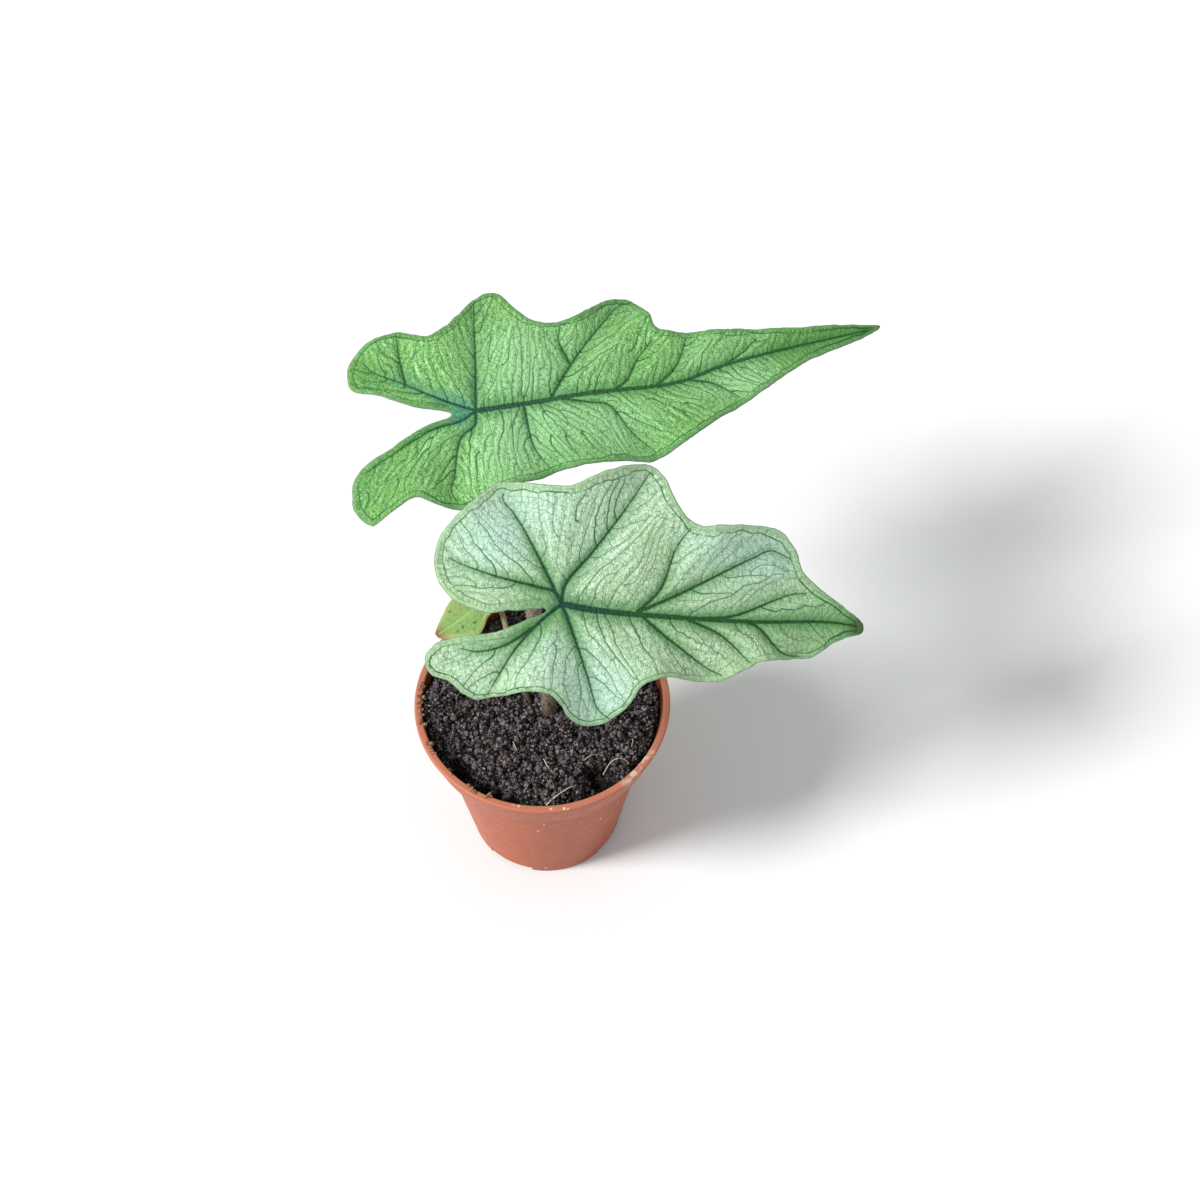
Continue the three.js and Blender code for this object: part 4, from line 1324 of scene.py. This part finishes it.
def pot_material():
    """Injection moulded polypropylene: even terracotta, satin gloss, faint flow marks and dust, with
    painted shade on the inner wall and painted highlights on the lip.
    """
    material, tree = new_material("moulded_polypropylene_terracotta")
    place = add(tree, "ShaderNodeTexCoord", out="Object")
    # Flow marks are some 10 mm long, and the spark-eroded grain is 0.4 mm
    flow = add(tree, "ShaderNodeTexNoise", {"Vector": place, "Scale": 90, "Detail": 4, "Roughness": 0.6})
    grain = add(tree, "ShaderNodeTexNoise", {"Vector": place, "Scale": 2600, "Detail": 2})
    scuffs = add(tree, "ShaderNodeTexNoise", {"Vector": place, "Scale": 420, "Detail": 5, "Roughness": 0.7})
    rises = add(tree, "ShaderNodeSeparateXYZ", {"Vector": place}, "Z")
    # The wall's inner side, above the soil, is painted dark in patches, as shade
    level = add(tree, "ShaderNodeVectorMath", {0: place, 1: (1, 1, 0)}, operation="MULTIPLY")
    radius = add(tree, "ShaderNodeVectorMath", {0: level}, "Value", operation="LENGTH")
    within = add(tree, "ShaderNodeMapRange", {
        "Value": radius, "From Min": 28.4 * MM, "From Max": 28.1 * MM,
    })
    above = add(tree, "ShaderNodeMapRange", {"Value": rises, "From Min": 44 * MM, "From Max": 45 * MM})
    painted_inner_wall_shade = add(tree, "ShaderNodeMath", {0: within, 1: above}, operation="MULTIPLY")
    patchy = add(tree, "ShaderNodeMapRange", {
        "Value": scuffs, "From Min": 0.35, "From Max": 0.6, "To Min": 0.95, "To Max": 0.6,
    })
    painted_inner_wall_shade = add(tree, "ShaderNodeMath", {0: painted_inner_wall_shade, 1: patchy}, operation="MULTIPLY")
    colour = paint_over(
        tree, "#a75738",
        (flow, 0.4, 0.65, 0.4, "#9d4f32"),
        (scuffs, 0.58, 0.72, 0.3, "#b66f55"),
        (rises, 49.1 * MM, 49.9 * MM, 0.32, "#cd9480"),
        # Painted shade over the inner wall above the soil
        (painted_inner_wall_shade, 0, 1, 1, "#2b1a14"),
    )
    # Noise from 0 to 1 bends the marks' edges. It moves them by MARK_SWAY on average, which gap_to undoes.
    sway = add(tree, "ShaderNodeTexNoise", {"Vector": place, "Scale": 1300, "Detail": 2}, "Color")
    sway = add(tree, "ShaderNodeVectorMath", {0: sway, "Scale": 2 * MARK_SWAY * MM}, operation="SCALE")
    bent = add(tree, "ShaderNodeVectorMath", {0: place, 1: sway}, operation="ADD")

    def gap_to(point):
        """How far off a point is, measured in the bent space."""
        at = tuple(MM * (c + MARK_SWAY) for c in point)
        return add(tree, "ShaderNodeVectorMath", {0: bent, 1: at}, "Value", operation="DISTANCE")

    # Of these marks, the pale ones on the lip's top are painted highlights
    marks = [
        (gap_to(point), reach * MM, 0.5 * reach * MM, 1, shade)
        for point, reach, shade in POT_MARKS_AND_HIGHLIGHTS
    ]
    lime = add(tree, "ShaderNodeMapRange", {
        "Value": gap_to(LIME_PLACE), "From Min": LIME_REACH * MM, "From Max": 0.6 * LIME_REACH * MM,
    })
    streaks = add(tree, "ShaderNodeMapRange", {
        "Value": scuffs, "From Min": 0.49, "From Max": 0.58, "To Max": 0.8,
    })
    lime = add(tree, "ShaderNodeMath", {0: lime, 1: streaks}, operation="MULTIPLY")
    colour = paint_over(tree, colour, *marks, (lime, 0, 1, 1, "#cbb8a8"))
    relief = add(tree, "ShaderNodeMath", {0: grain, 1: 0.25, 2: scuffs}, operation="MULTIPLY_ADD")
    bump = add(tree, "ShaderNodeBump", {
        "Height": relief, "Strength": 0.25, "Distance": 0.08 * MM,
    }, "Normal")
    dusty = add(tree, "ShaderNodeMapRange", {
        "Value": scuffs, "From Min": 0.35, "From Max": 0.7, "To Min": 0.38, "To Max": 0.55,
    })
    finish_material(tree, {
        "Base Color": colour,
        "Roughness": dusty,
        "Normal": bump,
        "IOR": 1.49,
        "Specular IOR Level": 0.2,
    })
    return material


# Soil

def soil_height(x, y):
    """Height of the soil, as in the part's source."""
    radius = np.hypot(x, y) / SOIL_EDGE_RADIUS
    lump = SOIL_LUMP * (np.sin(1.1 * x + 2) * np.sin(0.9 * y + 1) + np.sin(0.7 * x - 1.3 * y))
    fall = (SOIL_CENTRE_HEIGHT - SOIL_EDGE_HEIGHT) * radius ** 3
    return SOIL_CENTRE_HEIGHT - fall + (1 - radius ** 4) * lump


def crumb_height(points, rng):
    """Height of a layer of half-sunk round crumbs, 0.6 to 2.4 mm across, over the soil."""
    low, high = points.min(0) - 2, points.max(0) + 2
    centres = field(low, high, 1.15, 0.5, rng)
    sizes = 0.3 + 0.9 * rng.random(len(centres)) ** 2
    lifts = rng.uniform(-0.25, 0.35, len(centres))
    tree = point_tree(centres)
    heights = np.full(len(points), -0.7)
    for i, point in enumerate(points):
        for _, which, gap in tree.find_range((*point, 0), 1.2):
            size = sizes[which]
            if gap < size:
                heights[i] = max(heights[i], lifts[which] + math.sqrt(size ** 2 - gap ** 2) - 0.35)
    return heights


def make_soil(material):
    """The peat that fills the pot. Returns the two surfaces that its loose crumbs lie on."""
    rng = np.random.default_rng(5)
    turn = np.linspace(0, 2 * math.pi, SOIL_SIDES, endpoint=False)
    edge = SOIL_EDGE_RADIUS * np.column_stack([np.cos(turn), np.sin(turn)])
    limit = np.array([SOIL_EDGE_RADIUS, SOIL_EDGE_RADIUS])
    grid = field(-limit, limit, SOIL_STEP, 0.1, rng)
    grid = grid[np.linalg.norm(grid, axis=1) < SOIL_EDGE_RADIUS - 0.25]
    flat = np.vstack([edge, grid])
    made = delaunay_2d_cdt([Vector(point) for point in flat], [], [], 0, 1e-6, False)
    triangles = np.array(made[2])
    radius = np.linalg.norm(flat, axis=1)
    height = soil_height(*flat.T) + crumb_height(flat, rng)
    rough = np.array([noise.fractal(Vector((x, y, 3)) * 1.3, 0.9, 2.1, 4) for x, y in flat])
    clods = np.array([noise.noise(Vector((x, y, 6)) * 0.38) for x, y in flat])
    swell = patches(SOIL_SWELLS, flat)
    height += SOIL_ROUGHNESS * rough + SOIL_CLODS * clods + swell
    # The soil has shrunk from the wall here and there, which leaves a dark gap
    shrunk = np.array([noise.noise(Vector((x, y, 9)) * 0.12) for x, y in flat])
    at_wall = np.clip((radius - SHRINK_RADIUS) / SHRINK_WIDTH, 0, 1) ** 2
    height -= at_wall * np.clip(0.3 + 2 * shrunk, 0, SHRINK_DEPTH)
    # The wall leans outwards, so the soil's edge does where it lies higher
    lean = WALL_LEAN * np.clip(swell, 0, 5) / SOIL_EDGE_RADIUS * (radius / SOIL_EDGE_RADIUS) ** 4
    tops = np.column_stack([flat * (1 + lean)[:, None], height])
    faces = triangles.tolist()
    points = [tops]
    ring = list(range(len(edge)))
    total = len(tops)
    directions = unit(edge)
    for wall_radius, z in SOIL_WALL:
        points.append(np.column_stack([wall_radius * directions, np.full(len(ring), z)]))
        lower = list(range(total, total + len(ring)))
        for i in range(len(ring)):
            k = (i + 1) % len(ring)
            faces.append((ring[i], lower[i], lower[k], ring[k]))
        ring = lower
        total += len(lower)
    points.append([[0, 0, SOIL_WALL[-1][1]]])
    faces += [(ring[(i + 1) % len(ring)], ring[i], total) for i in range(len(ring))]
    points = np.vstack(points)
    tone = np.zeros(len(points))
    tone[:len(tops)] = 0.5 + 0.5 * rough
    soil = mesh_object("soil_fine", points, faces, {"tone": tone}, 80)
    keep_piece(soil, material, "peat_soil", "soil")
    reach = radius[triangles].mean(1)
    return [
        mesh_object(name, tops, triangles[reach < SOIL_EDGE_RADIUS - gap].tolist())
        for name, gap in (("crumbs", 1), ("fine_crumbs", 0.5))
    ]


def peat_material():
    """Damp milled peat: nearly black, matt, with brown and greyish crumbs, small moist glints that are
    partly painted pale specks, and painted shade in its hollows.
    """
    material, tree = new_material("damp_milled_peat")
    place = add(tree, "ShaderNodeTexCoord", out="Object")
    tone = add(tree, "ShaderNodeAttribute", out="Fac", attribute_name="tone")
    # Grains are some 0.7 mm, with finer ones in them, and clods some 2.4 mm
    grains_and_glints = add(tree, "ShaderNodeTexNoise", {
        "Vector": place, "Scale": 1500, "Detail": 4, "Roughness": 0.7,
    })
    clods = add(tree, "ShaderNodeTexNoise", {"Vector": place, "Scale": 420, "Detail": 3})
    # Hollows are painted darker, as shade
    rises = add(tree, "ShaderNodeSeparateXYZ", {"Vector": place}, "Z")
    colour = paint_over(
        tree, "#080504",
        (clods, 0.4, 0.65, 0.8, "#1a1412"),
        (tone, 0.62, 1, 0.85, "#6b5f63"),
        (clods, 0.62, 0.72, 0.4, "#6a4c3a"),
        # Pale specks painted as highlights: the peat's moist glints
        (grains_and_glints, 0.57, 0.64, 0.85, "#b3a8a9"),
        (rises, 46 * MM, 43.8 * MM, 0.9, "#070504"),
    )
    bump = add(tree, "ShaderNodeBump", {"Height": grains_and_glints, "Strength": 0.8, "Distance": 0.25 * MM}, "Normal")
    moist = add(tree, "ShaderNodeMapRange", {
        "Value": grains_and_glints, "From Min": 0.45, "From Max": 0.62, "To Min": 0.8, "To Max": 0.32,
    })
    finish_material(tree, {
        "Base Color": colour,
        "Roughness": moist,
        "Normal": bump,
        "IOR": 1.45,
        "Specular IOR Level": 0.22,
    })
    return material


def lump_object(steps, rings, rng):
    """One irregular crumb, a millimetre across, with few faces."""
    points = [(0, 0, -0.5)]
    for i in range(1, rings):
        tilt = math.pi * i / rings
        for j in range(steps):
            turn = 2 * math.pi * (j + 0.5 * (i % 2)) / steps
            radius = 0.5 * rng.uniform(0.75, 1.15)
            points.append((
                radius * math.sin(tilt) * math.cos(turn),
                radius * math.sin(tilt) * math.sin(turn),
                -radius * math.cos(tilt),
            ))
    points.append((0, 0, 0.5))
    faces = []
    last = len(points) - 1
    for j in range(steps):
        k = (j + 1) % steps
        faces.append((0, 1 + k, 1 + j))
        faces.append((last, last - steps + j, last - steps + k))
        for i in range(rings - 2):
            a, b = 1 + i * steps, 1 + (i + 1) * steps
            faces.append((a + j, a + k, b + k, b + j))
    return mesh_object("lump", points, faces, smooth_angle=30)


# Radians, for pieces that may lie any way round
FULL_TURN = 6.28


def scatter_tree(upright):
    """Copies of one small piece over a surface, each turned and sized at random."""
    tree = bpy.data.node_groups.new("scatter", "GeometryNodeTree")
    face = tree.interface
    face.new_socket("Geometry", in_out="OUTPUT", socket_type="NodeSocketGeometry")
    for name, kind in (
        ("Geometry", "Geometry"), ("Piece", "Object"), ("Number per square metre", "Float"),
        ("Smallest", "Float"), ("Largest", "Float"), ("Seed", "Int"), ("Finish", "Material"),
    ):
        face.new_socket(name, in_out="INPUT", socket_type=f"NodeSocket{kind}")
    given = tree.nodes.new("NodeGroupInput").outputs
    spots = add(tree, "GeometryNodeDistributePointsOnFaces", {
        "Mesh": given["Geometry"],
        "Density": given["Number per square metre"],
        "Seed": given["Seed"],
    })
    spread_out = spots.node.outputs
    if upright:
        lean = add(tree, "FunctionNodeRandomValue", {
            0: (-0.5, -0.5, 0), 1: (0.5, 0.5, FULL_TURN), "Seed": given["Seed"],
        }, data_type="FLOAT_VECTOR")
        turn = add(tree, "FunctionNodeRotateRotation", {
            "Rotation": spread_out["Rotation"], "Rotate By": lean,
        }, rotation_space="LOCAL")
    else:
        turn = add(tree, "FunctionNodeRandomValue", {
            0: (0, 0, 0), 1: (FULL_TURN, FULL_TURN, FULL_TURN), "Seed": given["Seed"],
        }, data_type="FLOAT_VECTOR")
    size = add(tree, "FunctionNodeRandomValue", {
        2: 0.0, 3: 1.0, "Seed": given["Seed"],
    }, out=1, data_type="FLOAT")
    size = add(tree, "ShaderNodeMath", {0: size, 1: 2.2}, operation="POWER")
    size = add(tree, "ShaderNodeMapRange", {
        "Value": size, "To Min": given["Smallest"], "To Max": given["Largest"],
    })
    squash = add(tree, "FunctionNodeRandomValue", {
        0: (0.7, 0.7, 0.7), 1: (1.3, 1.3, 1.3), "Seed": given["Seed"],
    }, data_type="FLOAT_VECTOR")
    size = add(tree, "ShaderNodeVectorMath", {0: squash, "Scale": size}, operation="SCALE")
    piece = add(tree, "GeometryNodeObjectInfo", {"Object": given["Piece"]}, out="Geometry")
    copies = add(tree, "GeometryNodeInstanceOnPoints", {
        "Points": spots, "Instance": piece, "Rotation": turn, "Scale": size,
    })
    tone = add(tree, "FunctionNodeRandomValue", {
        2: 0.0, 3: 1.0, "Seed": given["Seed"],
    }, out=1, data_type="FLOAT")
    toned = add(tree, "GeometryNodeStoreNamedAttribute", {
        "Geometry": copies, "Name": "tone", "Value": tone,
    }, data_type="FLOAT", domain="INSTANCE")
    real = add(tree, "GeometryNodeRealizeInstances", {"Geometry": toned})
    done = add(tree, "GeometryNodeSetMaterial", {"Geometry": real, "Material": given["Finish"]})
    add(tree, "NodeGroupOutput", {"Geometry": done})
    return tree


def scatter(surface, tree, values):
    """Runs the scatter tree on a surface and keeps only the copies, as a plain mesh."""
    modifier = surface.modifiers.new("scatter", "NODES")
    modifier.node_group = tree
    for item in tree.interface.items_tree:
        if item.in_out == "INPUT" and item.name in values:
            modifier[item.identifier] = values[item.name]
    settle(surface)
    bpy.data.objects.remove(values["Piece"])


def hair_object():
    """One tapering hair, a millimetre long, that stands on its root."""
    foot = [(0.03 * math.cos(turn), 0.03 * math.sin(turn), -0.1) for turn in (0, 2.1, 4.2)]
    return mesh_object("hair", [*foot, (0, 0, 0.9)], [(2, 1, 0), (0, 1, 3), (1, 2, 3), (2, 0, 3)])


def make_ground():
    """The soil, and all that lies on it and on the pot's lip."""
    peat = peat_material()
    crumbs, fine_crumbs = make_soil(peat)
    rng = np.random.default_rng(7)
    tree = scatter_tree(upright=False)
    scatter(crumbs, tree, {
        "Piece": lump_object(5, 4, rng),
        "Number per square metre": 0.5e6,
        "Smallest": 0.6,
        "Largest": 1.55,
        "Seed": 4,
        "Finish": peat,
    })
    keep_piece(crumbs, peat, "peat_soil")
    scatter(fine_crumbs, tree, {
        "Piece": lump_object(4, 3, rng),
        "Number per square metre": 2.9e6,
        "Smallest": 0.3,
        "Largest": 1.05,
        "Seed": 9,
        "Finish": peat,
    })
    keep_piece(fine_crumbs, peat, "peat_soil")
    make_lip_crumbs(tree, rng)
    make_fibres()


def make_lip_crumbs(tree, rng):
    """Dried crumbs that lie on the pot's lip, thickest at the left."""
    points, faces = [], []
    for start, end in LIP_CRUMB_ANGLES:
        for angle in np.radians(np.linspace(start, end, 9)):
            points += [(r * math.cos(angle), r * math.sin(angle), 50) for r in (27.8, 29.3)]
        first = len(points) - 18
        faces += [(first + i, first + i + 1, first + i + 3, first + i + 2) for i in range(0, 16, 2)]
    crumbs = mesh_object("lip_crumbs", points, faces)
    dust = dry_peat_material()
    scatter(crumbs, tree, {
        "Piece": lump_object(5, 4, rng),
        "Number per square metre": 2.0e6,
        "Smallest": 0.3,
        "Largest": 1.3,
        "Seed": 2,
        "Finish": dust,
    })
    keep_piece(crumbs, dust, "peat_soil")


def dry_peat_material():
    """Crumbs of peat that have dried: matt, and browner and paler than the damp ones."""
    material, tree = new_material("dry_peat_crumbs")
    tone = add(tree, "ShaderNodeAttribute", out="Fac", attribute_name="tone")
    colour = paint_over(tree, "#3a2a20", (tone, 0.2, 1, 1, "#94694a"))
    finish_material(tree, {"Base Color": colour, "Roughness": 0.9, "IOR": 1.45})
    return material


def make_fibres():
    """Dead rootlets that lie on the crumbs."""
    material, tree = new_material("dry_rootlet")
    finish_material(tree, {"Base Color": "#c9bda8", "Roughness": 0.6, "IOR": 1.45})
    points, faces = [], []
    for route, radius in ROOT_FIBRES:
        path = smooth_path(route, 0.4)
        lift = 1.25 * np.sin(np.linspace(0.1, math.pi - 0.1, len(path))) ** 0.5
        height = soil_height(*path.T) + patches(SOIL_SWELLS, path) + lift
        radii = radius * np.linspace(1, 0.5, len(path))
        ring, ring_faces, _, _ = tube(np.column_stack([path, height]), radii, 6)
        faces += [tuple(i + len(points) for i in face) for face in ring_faces]
        points += ring.tolist()
    keep_piece(mesh_object("root_fibres", points, faces), material, "peat_soil")


def crown_material():
    """The plant's short corky stem: fibrous brown skin, rough and matt."""
    material, tree = new_material("corky_crown")
    place = add(tree, "ShaderNodeTexCoord", out="Object")
    bark = add(tree, "ShaderNodeTexNoise", {"Vector": place, "Scale": 500, "Detail": 5, "Roughness": 0.7})
    colour = paint_over(tree, "#4c382b", (bark, 0.4, 0.65, 1, "#7a6047"))
    bump = add(tree, "ShaderNodeBump", {"Height": bark, "Strength": 0.8, "Distance": 0.3 * MM}, "Normal")
    finish_material(tree, {"Base Color": colour, "Roughness": 0.85, "Normal": bump, "IOR": 1.45})
    return material


def finish_crown():
    """The crown is hidden by the soil, so it keeps its CAD mesh and only gets its finish."""
    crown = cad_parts["crown"]
    crown.data.materials.clear()
    crown.data.materials.append(crown_material())


# Stage, light and camera

def make_stage():
    """A plain pale floor."""
    half = 12000
    corners = [(-half, -half, 0), (half, -half, 0), (half, half, 0), (-half, half, 0)]
    floor = mesh_object("floor", corners, [(0, 1, 2, 3)])
    material, tree = new_material("matt_white_paper")
    finish_material(tree, {"Base Color": "#e4e4e4", "Roughness": 0.9})
    floor.data.materials.append(material)


def make_light():
    """A broad soft light from the left, 40 degrees up, and an even pale surround."""
    world = bpy.data.worlds.new("studio")
    world.use_nodes = True
    surround = world.node_tree.nodes["Background"]
    surround.inputs["Color"].default_value = linear("#f6f8fb")
    surround.inputs["Strength"].default_value = 0.63
    bpy.context.scene.world = world
    lamp = bpy.data.lights.new("key", "SUN")
    lamp.energy = 3.95
    lamp.angle = math.radians(18)
    key = bpy.data.objects.new("key", lamp)
    key.rotation_euler = Vector((0.72, 0.26, -0.64)).to_track_quat("-Z", "Y").to_euler()
    bpy.context.scene.collection.objects.link(key)


def make_camera():
    """The photograph's view: from the front, looking down by 55 degrees."""
    lens = bpy.data.cameras.new("view")
    lens.sensor_width = 36
    lens.lens = 66
    lens.clip_start = 0.01
    camera = bpy.data.objects.new("view", lens)
    camera.location = (0.0135, -0.276, 0.485)
    camera.rotation_euler = (math.radians(35), 0, 0)
    bpy.context.scene.collection.objects.link(camera)
    bpy.context.scene.camera = camera
    bpy.context.scene.view_settings.view_transform = "Standard"


make_blades()
make_stalks()
make_pot()
make_ground()
finish_crown()
make_stage()
make_light()
make_camera()
